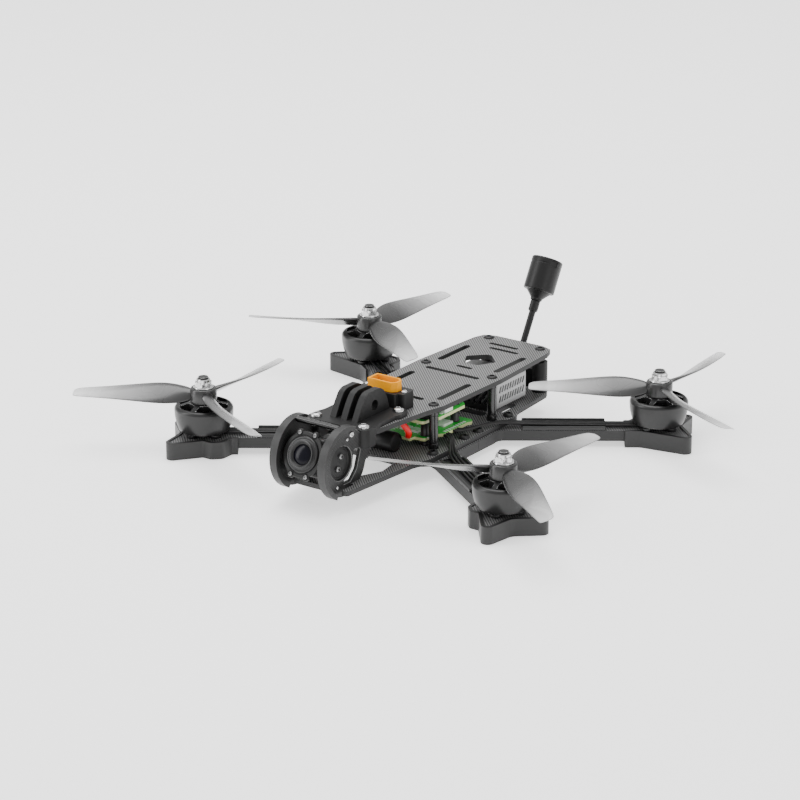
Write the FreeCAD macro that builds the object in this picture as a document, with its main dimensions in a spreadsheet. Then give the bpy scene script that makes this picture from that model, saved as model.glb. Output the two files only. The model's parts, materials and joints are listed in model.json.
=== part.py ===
"""Five-inch-propeller quadcopter with a carbon frame, built as a parametric FreeCAD document.

Frame: millimetres, +Z up, the nose points along -Y and +X is the machine's left side. The origin is
on the underside of the belly plate, at the centre of the rectangle of the four motor axes.
"""
import FreeCAD, Part
import math
import os
import re
from FreeCAD import Placement, Rotation, Vector

doc = FreeCAD.newDocument("quadcopter")
doc.UndoMode = 0

# ---------------------------------------------------------------- driving dimensions
SIZES = {
    "motor_x": 89.0, "motor_y": 69.5, "arm_angle": 35.0, "arm_width": 13.5,
    "foot_low": -1.0, "belly_low": 0.0, "arm_low": 2.0, "arm_high": 7.5, "lip_high": 7.9,
    "main_high": 10.0, "deck_low": 30.0, "deck_high": 32.5,
    "foot_wall": 1.8, "screw_radius": 1.5, "screw_hole": 1.6, "screw_head": 2.75,
    "standoff_radius": 2.5,
    "tray_base": 0.4, "tray_rail": 1.5, "tray_high": 9.4, "tray_inner": 68.0, "tray_outer": 26.5,
    "lead_radius": 0.7, "lead_pitch": 2.2,
    "bell_low": 10.3, "bell_high": 22.7, "seat_high": 24.1, "hub_high": 31.6,
    "flange_high": 32.6, "hex_high": 34.9, "nut_high": 36.3, "shaft_high": 37.2,
    "bell_inner": 11.95, "bell_radius": 14.6, "stator_radius": 11.5, "tube_radius": 4.8,
    "bearing_outer": 4.0, "shaft_radius": 2.0, "bearing_bore": 2.05, "thread_radius": 2.5,
    "prop_radius": 64.8, "prop_hub": 6.65, "blade_level": 27.4, "hub_bore": 2.5,
    "cage_y": -92.8, "cage_z": 22.0, "cage_radius": 18.05, "cage_rim": 2.5,
    "rim_inner_x": 12.1, "rim_outer_x": 16.2, "side_inner_x": 13.0, "side_outer_x": 15.0,
    "camera_y": -95.8, "camera_z": 22.6, "camera_tilt": 23.0,
    "boss_radius": 8.3, "window_radius": 8.4, "boss_outer_x": 13.8,
    "finger_pitch": 6.4, "finger_width": 3.3, "finger_y": -59.4, "finger_z": 39.7, "finger_bore": 2.6,
    "mount_high": 34.7,
    "socket_y": -39.0, "socket_low": 35.8, "socket_high": 45.7, "holder_high": 40.9,
    "stack_y": -11.5, "stack_pitch": 25.5, "esc_low": 13.1, "flight_low": 22.1, "board_thick": 1.6,
    "video_low": 11.6, "video_high": 24.7, "video_front": 33.5, "video_back": 60.5, "video_half": 16.0,
    "antenna_lean": 29.4, "stem_radius": 1.7, "cap_radius": 8.1,
    "stem_y": 82.3, "stem_z": 31.7,
}
sheet = doc.addObject("Spreadsheet::Sheet", "Sizes")
for row, (alias, number) in enumerate(SIZES.items(), start=1):
    sheet.set(f"A{row}", alias)
    sheet.set(f"B{row}", str(number))
    sheet.setAlias(f"B{row}", alias)
doc.recompute()
dim = {alias: float(sheet.get(alias)) for alias in SIZES}

NODES = {}


# ---------------------------------------------------------------- small tools
def formula(text):
    """Turns 'arm_high - arm_low' into an expression that reads the sheet."""
    return re.sub(r"\b([a-z]\w*)\b", r"Sizes.\1", text)


def node(label, made):
    """Registers a finished document object as one named piece."""
    made.Label = label
    NODES[label] = made
    return made


def rounded(corners):
    """Closed outline from (x, y, radius) corners: lines, with an arc at each corner with a radius."""
    count = len(corners)
    spots = [Vector(x, y, 0) for x, y, _ in corners]
    ends = []
    for i, (x, y, radius) in enumerate(corners):
        here = spots[i]
        if radius <= 0:
            ends.append((here, None, here))
            continue
        back = (spots[i - 1] - here).normalize()
        ahead = (spots[(i + 1) % count] - here).normalize()
        half = back.getAngle(ahead) / 2
        reach = radius / math.tan(half)
        middle = (back + ahead).normalize()
        top = here + middle * (radius / math.sin(half) - radius)
        ends.append((here + back * reach, top, here + ahead * reach))
    edges = []
    for i in range(count):
        start, top, leave = ends[i]
        if top is not None:
            edges.append(Part.Arc(start, top, leave))
        arrive = ends[(i + 1) % count][0]
        if (arrive - leave).Length > 1e-6:
            edges.append(Part.LineSegment(leave, arrive))
    return edges


def polygon(points):
    return rounded([(x, y, 0) for x, y in points])


def circle(x, y, radius):
    return [Part.Circle(Vector(x, y, 0), Vector(0, 0, 1), radius)]


def slot(x1, y1, x2, y2, width):
    """A straight slot with round ends, from end centre to end centre."""
    a, b = Vector(x1, y1, 0), Vector(x2, y2, 0)
    along = (b - a).normalize()
    side = Vector(-along.y, along.x, 0) * (width / 2)
    tip = along * (width / 2)
    return [
        Part.LineSegment(a + side, b + side), Part.Arc(b + side, b + tip, b - side),
        Part.LineSegment(b - side, a - side), Part.Arc(a - side, a - tip, a + side),
    ]


def mirrored(half):
    """A closed outline from the corners of its +X half, listed from front to back."""
    return half + [(-x, y, r) for x, y, r in reversed(half) if x > 0]


def inset(corners, depth):
    """Moves an outline's sides inwards by depth; the corner radii shrink or grow to stay parallel."""
    count = len(corners)
    area = sum(corners[i - 1][0] * corners[i][1] - corners[i][0] * corners[i - 1][1] for i in range(count))
    turn = 1 if area > 0 else -1
    result = []
    for i, (x, y, radius) in enumerate(corners):
        here = Vector(x, y, 0)
        back = here - Vector(*corners[i - 1][:2], 0)
        ahead = Vector(*corners[(i + 1) % count][:2], 0) - here
        n1 = Vector(-back.y, back.x, 0).normalize() * turn
        n2 = Vector(-ahead.y, ahead.x, 0).normalize() * turn
        shift = (n1 + n2) * (depth / (1 + n1.dot(n2)))
        bulges = (back.x * ahead.y - back.y * ahead.x) * turn > 0
        bent = max(radius - depth, 0.4) if bulges else radius + depth
        result.append((x + shift.x, y + shift.y, bent if radius else 0))
    return result


def new_body(name):
    return doc.addObject("PartDesign::Body", name)


def sketch(body, name, geometry, plane="XY_Plane", lift=None):
    """A sketch on one of the body's own planes, lifted off it by a formula."""
    made = body.newObject("Sketcher::SketchObject", name)
    origin = [f for f in body.Origin.OriginFeatures if f.Role == plane][0]
    made.AttachmentSupport = [(origin, "")]
    made.MapMode = "FlatFace"
    made.addGeometry(geometry, False)
    if lift:
        made.setExpression("AttachmentOffset.Base.z", formula(lift))
    return made


def pad(body, name, geometry, low, high, plane="XY_Plane"):
    profile = sketch(body, name + "_sketch", geometry, plane, low)
    made = body.newObject("PartDesign::Pad", name)
    made.Profile = profile
    made.setExpression("Length", formula(f"{high} - ({low})"))
    return made


def pocket(body, name, geometry, high, low, plane="XY_Plane"):
    """Cuts from the level high down to the level low."""
    profile = sketch(body, name + "_sketch", geometry, plane, high)
    made = body.newObject("PartDesign::Pocket", name)
    made.Profile = profile
    made.setExpression("Length", formula(f"{high} - ({low})"))
    return made


def turn(body, name, points, cut=False):
    """Revolves a closed (radius, height) outline about the body's Z axis."""
    profile = sketch(body, name + "_sketch", points, "XZ_Plane")
    made = body.newObject("PartDesign::Groove" if cut else "PartDesign::Revolution", name)
    made.Profile = profile
    made.ReferenceAxis = (profile, ["V_Axis"])
    made.Angle = 360
    return made


def plate(label, geometry, low, high):
    """A flat piece: one outline with its holes, padded between two levels of the sheet."""
    body = new_body(label)
    pad(body, label + "_pad", geometry, low, high)
    return body


def rod(name, radius, low, high, x, y):
    """An upright cylinder between two levels, with its radius and height bound to the sheet."""
    made = doc.addObject("Part::Cylinder", name)
    made.setExpression("Radius", formula(radius))
    made.setExpression("Height", formula(f"{high} - ({low})"))
    made.setExpression("Placement.Base.z", formula(low))
    made.Placement.Base = Vector(x, y, made.Placement.Base.z)
    return made


def cross_rod(name, radius, x1, x2, y, z):
    """A cylinder along X from x1 to x2."""
    made = doc.addObject("Part::Cylinder", name)
    if isinstance(radius, str):
        made.setExpression("Radius", formula(radius))
    else:
        made.Radius = radius
    made.Height = x2 - x1
    made.Placement = Placement(Vector(x1, y, z), Rotation(Vector(0, 1, 0), 90))
    return made


def block(name, low, high):
    made = doc.addObject("Part::Box", name)
    made.Length, made.Width, made.Height = (high[i] - low[i] for i in range(3))
    made.Placement.Base = Vector(*low)
    return made


def fuse(name, parts):
    made = doc.addObject("Part::MultiFuse", name)
    made.Shapes = parts
    return made


def cut(name, base, tool):
    made = doc.addObject("Part::Cut", name)
    made.Base, made.Tool = base, tool
    return made


def group(label, parts):
    """One node that holds several separate solids."""
    made = doc.addObject("Part::Compound", label)
    made.Links = parts
    return node(label, made)


def shaped(label, shape, place=None):
    """A piece whose surface no standard feature makes: its shape is set here."""
    made = doc.addObject("Part::Feature", label)
    made.Shape = shape
    if place is not None:
        made.Placement = place
    return made


def tube(points, radius):
    """A lead: straight runs joined by tangent arcs, swept with a round section."""
    spots = [Vector(*p) for p in points]
    edges, here, bends = [], spots[0], []
    for i in range(1, len(spots) - 1):
        back, ahead = spots[i - 1] - spots[i], spots[i + 1] - spots[i]
        reach = 0.45 * min(back.Length, ahead.Length)
        back.normalize()
        ahead.normalize()
        half = back.getAngle(ahead) / 2
        middle = (back + ahead).normalize()
        bend = reach * math.tan(half)
        bends.append(round(bend, 1))
        top = spots[i] + middle * (bend / math.sin(half) - bend)
        edges.append(Part.LineSegment(here, spots[i] + back * reach).toShape())
        edges.append(Part.Arc(spots[i] + back * reach, top, spots[i] + ahead * reach).toShape())
        here = spots[i] + ahead * reach
    edges.append(Part.LineSegment(here, spots[-1]).toShape())
    path = Part.Wire(edges)
    start = (spots[1] - spots[0]).normalize()
    ring = Part.Wire([Part.Circle(spots[0], start, radius).toShape()])
    made = path.makePipeShell([ring], True, True)
    expected = math.pi * radius ** 2 * path.Length
    if abs(made.Volume - expected) > 0.03 * expected:
        raise ValueError(f"lead volume {made.Volume:.2f} is not {expected:.2f}")
    print("lead radius", radius, "bends", bends)
    return made


# ---------------------------------------------------------------- the four corners
LEAN = math.radians(dim["arm_angle"])
# name: side sign, end sign, spin seen from above (+1 anticlockwise), blade phase in degrees
CORNERS = {
    "front_right": (-1, -1, -1, 90.0),
    "rear_right": (-1, 1, 1, 87.5),
    "rear_left": (1, 1, -1, 90.5),
    "front_left": (1, -1, 1, 82.8),
}


def motor_axis(corner):
    side, end = CORNERS[corner][:2]
    return side * dim["motor_x"], end * dim["motor_y"]


def on_arm(corner, along, across):
    """Plan position of a spot given along the arm outwards from the motor and across towards y = 0."""
    side, end = CORNERS[corner][:2]
    x, y = motor_axis(corner)
    out = (side * math.cos(LEAN), end * math.sin(LEAN))
    inner = (side * math.sin(LEAN), -end * math.cos(LEAN))
    return x + along * out[0] + across * inner[0], y + along * out[1] + across * inner[1]


def arm_outline(corner, corners):
    return [(*on_arm(corner, a, b), r) for a, b, r in corners]


HALF = dim["arm_width"] / 2
# Outline of the protective foot around an arm end, as (along, across, corner radius). The side that
# faces the middle of the machine is straight; the other side has a small lobe behind its big one.
STAR = [
    (12.0, -0.3, 6), (21.2, -18.7, 3.3), (0.0, -12.3, 1.2), (-4.2, -15.2, 3.0), (-10.0, -14.0, 4.0),
    (-14.2, -7.9, 1.5), (-17.0, -7.9, 0), (-17.0, 7.9, 0), (-9.6, 7.9, 6), (17.6, 20.7, 3.5),
]
SCREW_SPOTS = [(8 * math.cos(k * math.pi / 2 + math.pi / 4), 8 * math.sin(k * math.pi / 2 + math.pi / 4))
               for k in range(4)]

for corner, (side, end, spin, phase) in CORNERS.items():
    mx, my = motor_axis(corner)
    holes = []
    for a, b in SCREW_SPOTS:
        holes += circle(*on_arm(corner, a, b), dim["screw_hole"])

    # Carbon arm: star-shaped motor end, straight bar, root that meets its neighbour at y = 0.
    body = new_body("arm_" + corner)
    pad(body, "end_" + corner, rounded(arm_outline(corner, inset(STAR, dim["foot_wall"]))),
        "arm_low", "arm_high")
    slope = math.tan(LEAN)
    drop = HALF / math.cos(LEAN)
    root_x, nose_x = 28.0, 25.0

    def bar_y(x, shift):
        return end * (dim["motor_y"] - (dim["motor_x"] - x) * slope + shift)

    bar = [
        (*on_arm(corner, -4, HALF), 0), (side * root_x, bar_y(root_x, -drop), 5),
        (side * root_x, end * 0.05, 0),
        (side * 6, end * 0.05, 0), (side * 6, end * 24, 3), (side * nose_x, bar_y(nose_x, drop), 7),
        (*on_arm(corner, -4, -HALF), 0),
    ]
    pad(body, "bar_" + corner, rounded(bar), "arm_low", "arm_high")
    pocket(body, "holes_" + corner, holes + circle(mx, my, 3.5), "arm_high", "arm_low")
    node("arm_" + corner, body)

    # Foot: a cup that wraps the arm end, with a floor that the motor screws pass through.
    body = new_body("foot_" + corner)
    pad(body, "foot_block_" + corner, rounded(arm_outline(corner, STAR)), "foot_low", "lip_high")
    pocket(body, "foot_cup_" + corner, rounded(arm_outline(corner, inset(STAR, dim["foot_wall"]))),
           "lip_high", "arm_low")
    channel = [(*on_arm(corner, a, b), 0) for a, b in ((-30, HALF), (-5, HALF), (-5, -HALF), (-30, -HALF))]
    pocket(body, "foot_channel_" + corner, rounded(channel), "lip_high", "arm_low")
    wells = []
    for a, b in SCREW_SPOTS:
        wells += circle(*on_arm(corner, a, b), dim["screw_head"] + 0.15)
    pocket(body, "foot_wells_" + corner, wells, "arm_low", "foot_low")
    reliefs = []
    for a, b in SCREW_SPOTS:
        reliefs += circle(*on_arm(corner, a * 1.05, b * 1.05), 3.0)
    pocket(body, "foot_reliefs_" + corner, reliefs, "lip_high", "arm_high")
    node("foot_" + corner, body)

    # Motor base: hub, four screw legs, bearing tube and its two bearings.
    body = new_body("motor_casting_" + corner)
    tube_r, bore = dim["tube_radius"], dim["bearing_outer"]
    base_low, base_high, tube_high = dim["arm_high"], 9.3, 20.4
    turn(body, "casting_hub_" + corner, polygon([
        (bore, base_low), (6.2, base_low), (6.2, base_high), (tube_r, base_high + 1.2), (tube_r, tube_high),
        (bore, tube_high)]))
    for leg, (a, b) in enumerate(SCREW_SPOTS):
        cx, cy = on_arm(corner, a, b)
        ux, uy = (cx - mx) / 8, (cy - my) / 8
        reach = [(4.6, -2.6, 0), (11.0, -2.6, 2.4), (11.0, 2.6, 2.4), (4.6, 2.6, 0)]
        foot_plan = [(p * ux - q * uy, p * uy + q * ux, r) for p, q, r in reach]
        outline = rounded(foot_plan) + circle(cx - mx, cy - my, dim["screw_radius"])
        pad(body, f"leg_{leg}_{corner}", outline, "arm_high", "arm_high + 1.6")
    body.Placement.Base = Vector(mx, my, 0)
    bearings = []
    for place, low in (("low", 8.2), ("high", 17.2)):
        ring = doc.addObject("Part::Cylinder", f"bearing_{place}_{corner}")
        ring.setExpression("Radius", formula("bearing_outer"))
        ring.Height = 3.0
        ring.Placement.Base = Vector(mx, my, low)
        hole = doc.addObject("Part::Cylinder", f"bearing_{place}_hole_{corner}")
        hole.setExpression("Radius", formula("bearing_bore"))
        hole.Height = 3.0
        hole.Placement.Base = Vector(mx, my, low)
        bearings.append(cut(f"bearing_{place}_ring_{corner}", ring, hole))
    group("motor_base_" + corner, [body] + bearings)

    # Bell: flux ring with a rounded outside, six milled windows, hub and shaft.
    body = new_body("bell_" + corner)
    inner, low, high, seat = dim["bell_inner"], dim["bell_low"], dim["bell_high"], dim["seat_high"]
    wide, shoulder = dim["bell_radius"], 20.4
    side_curve = Part.Arc(Vector(12.5, low, 0), Vector(wide - 0.4, 15.8, 0), Vector(wide, shoulder, 0))
    round_over = Part.Arc(Vector(wide, shoulder, 0), Vector(wide - 0.5, high - 0.6, 0), Vector(13.2, high, 0))
    ring = [(13.2, high), (11.6, high), (6.6, seat), (dim["thread_radius"], seat),
            (dim["thread_radius"], dim["shaft_high"]), (0, dim["shaft_high"]), (0, 8.2),
            (dim["shaft_radius"], 8.2), (dim["shaft_radius"], 21.3), (6.6, 21.3), (11.2, 20.9),
            (inner, 19.9), (inner, low), (12.5, low)]
    outline = [side_curve, round_over] + [Part.LineSegment(Vector(*ring[i], 0), Vector(*ring[i + 1], 0))
                              for i in range(len(ring) - 1)]
    turn(body, "bell_turned_" + corner, outline)
    windows = []
    for k in range(6):
        middle = math.radians(60 * k + 12)
        spread_out, spread_in = math.radians(25), math.radians(19)
        windows += rounded([(reach * math.cos(middle + swing), reach * math.sin(middle + swing), 0.5)
                            for reach, swing in ((7.4, -spread_in), (12.2, -spread_out), (12.9, 0),
                                                 (12.2, spread_out), (7.4, spread_in))])
    pocket(body, "bell_windows_" + corner, windows, "seat_high", "bell_high - 3")
    body.Placement.Base = Vector(mx, my, 0)
    node("rotor_bell_" + corner, body)

    # Propeller: hub and three twisted blades; the leading edge is the higher one.
    stations = [  # radius, chord, pitch in degrees, thickness, sweep of the mid chord
        (4.6, 7.0, 38, 3.0, 0.0), (10, 10.6, 36, 2.3, 0.5), (18, 14.2, 32, 1.8, 1.2),
        (26, 14.5, 27.5, 1.5, 1.2),
        (36, 13.1, 22, 1.3, 0.6), (46, 11.3, 17.5, 1.1, -0.1), (55, 9.8, 14.5, 1.0, -0.8),
        (61, 8.6, 13, 0.9, -1.3), (63.8, 7.4, 12.5, 0.8, -1.7), (64.8, 5.0, 12, 0.7, -2.6)]
    wires = []
    for radius, chord, pitch, thick, sweep in stations:
        tilt = math.radians(pitch)

        def spot(t, z):
            forward = t * math.cos(tilt) - z * math.sin(tilt) + sweep
            up = t * math.sin(tilt) + z * math.cos(tilt)
            return Vector(radius * dim["prop_radius"] / 64.8, spin * forward, up)

        lead, trail = spot(chord / 2, 0), spot(-chord / 2, 0)
        upper, lower = spot(chord * 0.08, thick * 0.95), spot(chord * 0.08, -thick * 0.15)
        over, under = Part.Arc(lead, upper, trail).toShape(), Part.Arc(trail, lower, lead).toShape()
        wires.append(Part.Wire([over, under]))
    blade = Part.makeLoft(wires, True, False)
    blades = []
    for k in range(3):
        one = blade.copy()
        one.rotate(Vector(0, 0, 0), Vector(0, 0, 1), phase + 120 * k)
        one.translate(Vector(mx, my, dim["blade_level"]))
        blades.append(shaped(f"blade_{k}_{corner}", one))
    hub = rod("hub_" + corner, "prop_hub", "seat_high", "hub_high", mx, my)
    joined = fuse("hub_and_blades_" + corner, [hub] + blades)
    bore_rod = rod("hub_bore_" + corner, "hub_bore", "seat_high - 1", "hub_high + 1", mx, my)
    node("propeller_" + corner, cut("propeller_cut_" + corner, joined, bore_rod))

    # Flanged lock nut.
    hexagon = doc.addObject("Part::Prism", "nut_hex_" + corner)
    hexagon.Polygon = 6
    hexagon.Circumradius = 4.6
    hexagon.setExpression("Height", formula("hex_high - flange_high"))
    hexagon.Placement.Base = Vector(mx, my, dim["flange_high"])
    flange = rod("nut_flange_" + corner, "thread_radius + 2.5", "hub_high", "flange_high", mx, my)
    collar = rod("nut_collar_" + corner, "thread_radius + 1.2", "hex_high", "nut_high", mx, my)
    stack = fuse("nut_blank_" + corner, [flange, hexagon, collar])
    thread = rod("nut_thread_" + corner, "thread_radius", "hub_high - 1", "nut_high + 1", mx, my)
    node("prop_nut_" + corner, cut("nut_cut_" + corner, stack, thread))

# ---------------------------------------------------------------- parts repeated at the corners
stators, motor_screws, trays, leads = [], [], [], []
for corner in CORNERS:
    mx, my = motor_axis(corner)
    body = new_body("stator_" + corner)
    teeth = circle(0, 0, dim["stator_radius"]) + circle(0, 0, dim["tube_radius"])
    for k in range(12):
        angle = math.radians(30 * k)
        teeth += slot(7.6 * math.cos(angle), 7.6 * math.sin(angle), 9.6 * math.cos(angle),
                      9.6 * math.sin(angle), 2.0)
    pad(body, "stator_pad_" + corner, teeth, "bell_low + 1.4", "bell_low + 9")
    body.Placement.Base = Vector(mx, my, 0)
    stators.append(body)
    for k, (a, b) in enumerate(SCREW_SPOTS):
        x, y = on_arm(corner, a, b)
        shank = rod(f"motor_shank_{k}_{corner}", "screw_radius", "arm_low - 0.5", "arm_high + 1.6", x, y)
        head = rod(f"motor_head_{k}_{corner}", "screw_head", "arm_low - 1.9", "arm_low", x, y)
        motor_screws.append(fuse(f"motor_screw_{k}_{corner}", [shank, head]))
    # Tray on the arm: a shallow channel that covers the three motor leads.
    body = new_body("tray_" + corner)
    far, near = -dim["tray_inner"], -dim["tray_outer"]
    floor = [(*on_arm(corner, a, b), 0) for a, b in
             ((near, HALF), (far, HALF), (far, -HALF), (near, -HALF))]
    pad(body, "tray_block_" + corner, rounded(floor), "arm_high", "tray_high")
    inside = HALF - dim["tray_rail"]
    trough = [(*on_arm(corner, a, b), 0) for a, b in
              ((near + 1, inside), (far - 1, inside), (far - 1, -inside), (near + 1, -inside))]
    pocket(body, "tray_trough_" + corner, rounded(trough), "tray_high", "arm_high + tray_base")
    trays.append(body)
    # Leads: from the motor base along the arm, up to the edge of the speed controller.
    side, end = CORNERS[corner][:2]
    level = dim["arm_high"] + dim["tray_base"] + dim["lead_radius"] + 0.05
    for k in (-1, 0, 1):
        spread = k * dim["lead_pitch"]
        board_y = dim["stack_y"] + end * 4.0 + k * 1.7
        route = [(*on_arm(corner, -6.6, spread), level), (*on_arm(corner, -66.0, spread), level),
                 (side * 26.0, end * 20.5 - k * end * 1.2, 11.6),
                 (side * 22.6, board_y, dim["esc_low"] + 0.8), (side * 19.3, board_y, dim["esc_low"] + 0.8)]
        leads.append(shaped(f"lead_{k + 1}_{corner}", tube(route, dim["lead_radius"])))
group("stators", stators)
group("motor_screws", motor_screws)
group("arm_trays", trays)
group("motor_leads", leads)

# ---------------------------------------------------------------- plates
STANDOFFS = [(s * x, y) for x, y in ((19.3, -26.3), (20.0, 23.2), (15.7, 73.4)) for s in (-1, 1)]
ROOT_SCREWS = [(s * 23.5, e * y) for s in (-1, 1) for e in (-1, 1) for y in (6.0, 33.0)]
post = dim["stack_pitch"] / 2
STACK_POSTS = [(s * post, dim["stack_y"] + e * post) for s in (-1, 1) for e in (-1, 1)]

belly = mirrored([(0, -30, 0), (14, -30, 3), (25.5, -19, 4), (25.5, 19, 4), (14, 30, 3), (0, 30, 0)])
node("belly_plate", plate("belly_plate", rounded(belly), "belly_low", "arm_low"))

notch_in, notch_out, notch_back = dim["rim_inner_x"] - 0.3, dim["rim_outer_x"] + 0.3, -88.2
main_half = [
    (0, -98, 0), (notch_in, -98, 0.6), (notch_in, notch_back, 0), (notch_out, notch_back, 0),
    (notch_out, -98, 0.5), (19.8, -98, 2), (23.6, -50, 6), (26.8, -40, 4), (26.8, 36, 6), (22.9, 42, 8),
    (20.8, 72, 2), (18.4, 77, 3), (0, 77.5, 0)]
outline = rounded(mirrored(main_half))
nose_opening = [(0, -91.5, 0), (9.5, -91.5, 2), (10.8, -80, 3), (17.2, -66, 3), (14.8, -51, 3), (0, -51, 0)]
outline += rounded(mirrored(nose_opening))
for s in (-1, 1):
    outline += slot(s * 16.3, 36.5, s * 16.3, 47, 4.2)
outline += slot(-10.5, 27.6, 10.5, 27.6, 5.4) + slot(-8, 55, 8, 55, 5)
for x, y in STANDOFFS + ROOT_SCREWS:
    outline += circle(x, y, dim["screw_radius"])
for x, y in STACK_POSTS:
    outline += circle(x, y, dim["screw_radius"])
node("main_plate", plate("main_plate", outline, "arm_high", "main_high"))

deck_half = [
    (0, -72, 0), (17.0, -72, 2), (21.6, -36, 12), (24.3, -25, 6), (25.2, 24, 8), (22.4, 70, 2),
    (20.4, 76, 2), (14.5, 78.2, 2), (0, 78.2, 0)]
outline = rounded(mirrored(deck_half))
for s in (-1, 1):
    outline += slot(s * 17.0, -17.5, s * 17.0, 6.5, 3.4)
    outline += slot(s * 17.0, 32.0, s * 17.0, 55.5, 3.4)
    outline += circle(s * 14.0, -48.3, dim["screw_radius"])
outline += slot(-9.5, -23.0, 9.5, -23.0, 3.0) + slot(-14.5, 17.5, 14.5, 17.5, 3.0)
outline += rounded([(-4, 34, 0.8), (4, 34, 0.8), (9, 43, 2), (0, 52, 3), (-9, 43, 2)])
outline += slot(-5.5, 60.5, 9.5, 60.5, 2.4) + slot(-9.5, 66.5, 5.5, 66.5, 2.4)
outline += slot(-3.5, 28.0, 3.5, 28.0, 2.4) + slot(-6.2, dim["socket_y"], 6.2, dim["socket_y"], 4.8)
for x, y in STANDOFFS:
    outline += circle(x, y, dim["screw_radius"])
node("top_plate", plate("top_plate", outline, "main_high + 20", "deck_high"))

# ---------------------------------------------------------------- standoffs and frame screws
group("standoffs", [rod(f"standoff_{i}", "standoff_radius", "main_high", "deck_low", x, y)
                    for i, (x, y) in enumerate(STANDOFFS)])
screws = []
for i, (x, y) in enumerate(STANDOFFS):
    head = doc.addObject("Part::Cylinder", f"deck_head_{i}")
    head.setExpression("Radius", formula("screw_head"))
    head.Height = 0.8
    head.Placement.Base = Vector(x, y, dim["deck_high"])
    shank = rod(f"deck_shank_{i}", "screw_radius", "deck_low", "deck_high", x, y)
    screws.append(fuse(f"deck_screw_{i}", [head, shank]))
for i, (x, y) in enumerate(ROOT_SCREWS):
    head = doc.addObject("Part::Cylinder", f"root_head_{i}")
    head.setExpression("Radius", formula("screw_head"))
    head.Height = 1.7
    head.Placement.Base = Vector(x, y, dim["main_high"])
    shank = rod(f"root_shank_{i}", "screw_radius", "arm_high", "main_high", x, y)
    screws.append(fuse(f"root_screw_{i}", [head, shank]))

# ---------------------------------------------------------------- camera cage
SIDEWAYS = Rotation(Vector(1, 1, 1), 120)  # local X, Y, Z become Y, Z, X: for pieces drawn from the side
BAR = (-94.0, 38.9)
cy, cz = dim["cage_y"], dim["cage_z"]
rim_r, rim_in = dim["cage_radius"], dim["cage_radius"] - dim["cage_rim"]


def at_angle(radius, degrees):
    """Spot on the cage circle; 0 degrees points to the tail and 90 up."""
    angle = math.radians(degrees)
    return Vector(cy + radius * math.cos(angle), cz + radius * math.sin(angle), 0)


lobe = [(-90.0, 38.0, 0), (-86.5, 35.6, 1), (-80.5, 30.0, 0), (-71.5, 30.0, 1), (-70.6, 24.5, 2),
        (-84.0, 10.0, 0), (-93.0, 10.0, 0), (-100.0, 22.0, 0)]
gap = [(-85.8, 26.8, 1), (-80.2, 25.8, 1.2), (-83.6, 16.2, 3), (-88.6, 11.3, 1.0), (-94.6, 11.4, 0.6),
       (-94.0, 13.1, 0.4), (-90.3, 14.7, 2.0), (-87.1, 18.2, 3.0)]
seat = [(notch_back, 0, 0), (-60, 0, 0), (-60, dim["main_high"], 0), (notch_back, dim["main_high"], 0)]
first, last = 66.0, 244.0
middle = (first + last) / 2
rim_ring = [
    Part.Arc(at_angle(rim_r, first), at_angle(rim_r, middle), at_angle(rim_r, last)),
    Part.LineSegment(at_angle(rim_r, last), at_angle(rim_in, last)),
    Part.Arc(at_angle(rim_in, last), at_angle(rim_in, middle), at_angle(rim_in, first)),
    Part.LineSegment(at_angle(rim_in, first), at_angle(rim_r, first)),
]
window = circle(dim["camera_y"], dim["camera_z"], dim["window_radius"])
for name, inner, rim_inner in (("left", "side_inner_x", "rim_inner_x"),
                               ("right", "-side_outer_x", "-rim_outer_x")):
    outer = "side_outer_x" if name == "left" else "-side_inner_x"
    rim_outer = "rim_outer_x" if name == "left" else "-rim_inner_x"
    # Side plate: a round cheek with an upper lobe, a raked rear leg, a pivot window and an opening.
    body = new_body("cheek_" + name)
    pad(body, "cheek_disc_" + name, circle(cy, cz, rim_r - 1.3), inner, outer)
    pad(body, "cheek_lobe_" + name, rounded(lobe), inner, outer)
    pocket(body, "cheek_window_" + name, window, outer, inner)
    pocket(body, "cheek_gap_" + name, rounded(gap), outer, inner)
    pocket(body, "cheek_seat_" + name, rounded(seat), outer, inner)
    body.Placement.Rotation = SIDEWAYS
    node("camera_plate_" + name, body)
    # Soft rim: an arc of square section around the cheek, open at the back.
    body = new_body("rim_" + name)
    pad(body, "rim_arc_" + name, rim_ring, rim_inner, rim_outer)
    pocket(body, "rim_groove_" + name, circle(cy, cz, rim_r - 1.3), outer, inner)
    pocket(body, "rim_bar_room_" + name, circle(*BAR, 1.5), "side_inner_x", "-side_inner_x")
    body.Placement.Rotation = SIDEWAYS
    node("camera_rim_" + name, body)
node("cage_cross_bar", cross_rod("cage_bar", 1.5, -13.0, 13.0, *BAR))

# ---------------------------------------------------------------- camera, built level, then tilted
TILT = Placement(Vector(0, dim["camera_y"], dim["camera_z"]), Rotation(Vector(1, 0, 0), -dim["camera_tilt"]))


def camera_piece(label, body):
    body.Placement = TILT
    return node(label, body)


def along_view(body, name, geometry, front, back):
    """Pads an outline drawn in the X-Z plane from y = front to y = back."""
    made = body.newObject("Sketcher::SketchObject", name + "_sketch")
    origin = [f for f in body.Origin.OriginFeatures if f.Role == "XZ_Plane"][0]
    made.AttachmentSupport = [(origin, "")]
    made.MapMode = "FlatFace"
    made.addGeometry(geometry, False)
    made.AttachmentOffset = Placement(Vector(0, 0, -back), Rotation())
    feature = body.newObject("PartDesign::Pad", name)
    feature.Profile = made
    feature.Length = back - front
    return feature


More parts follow.
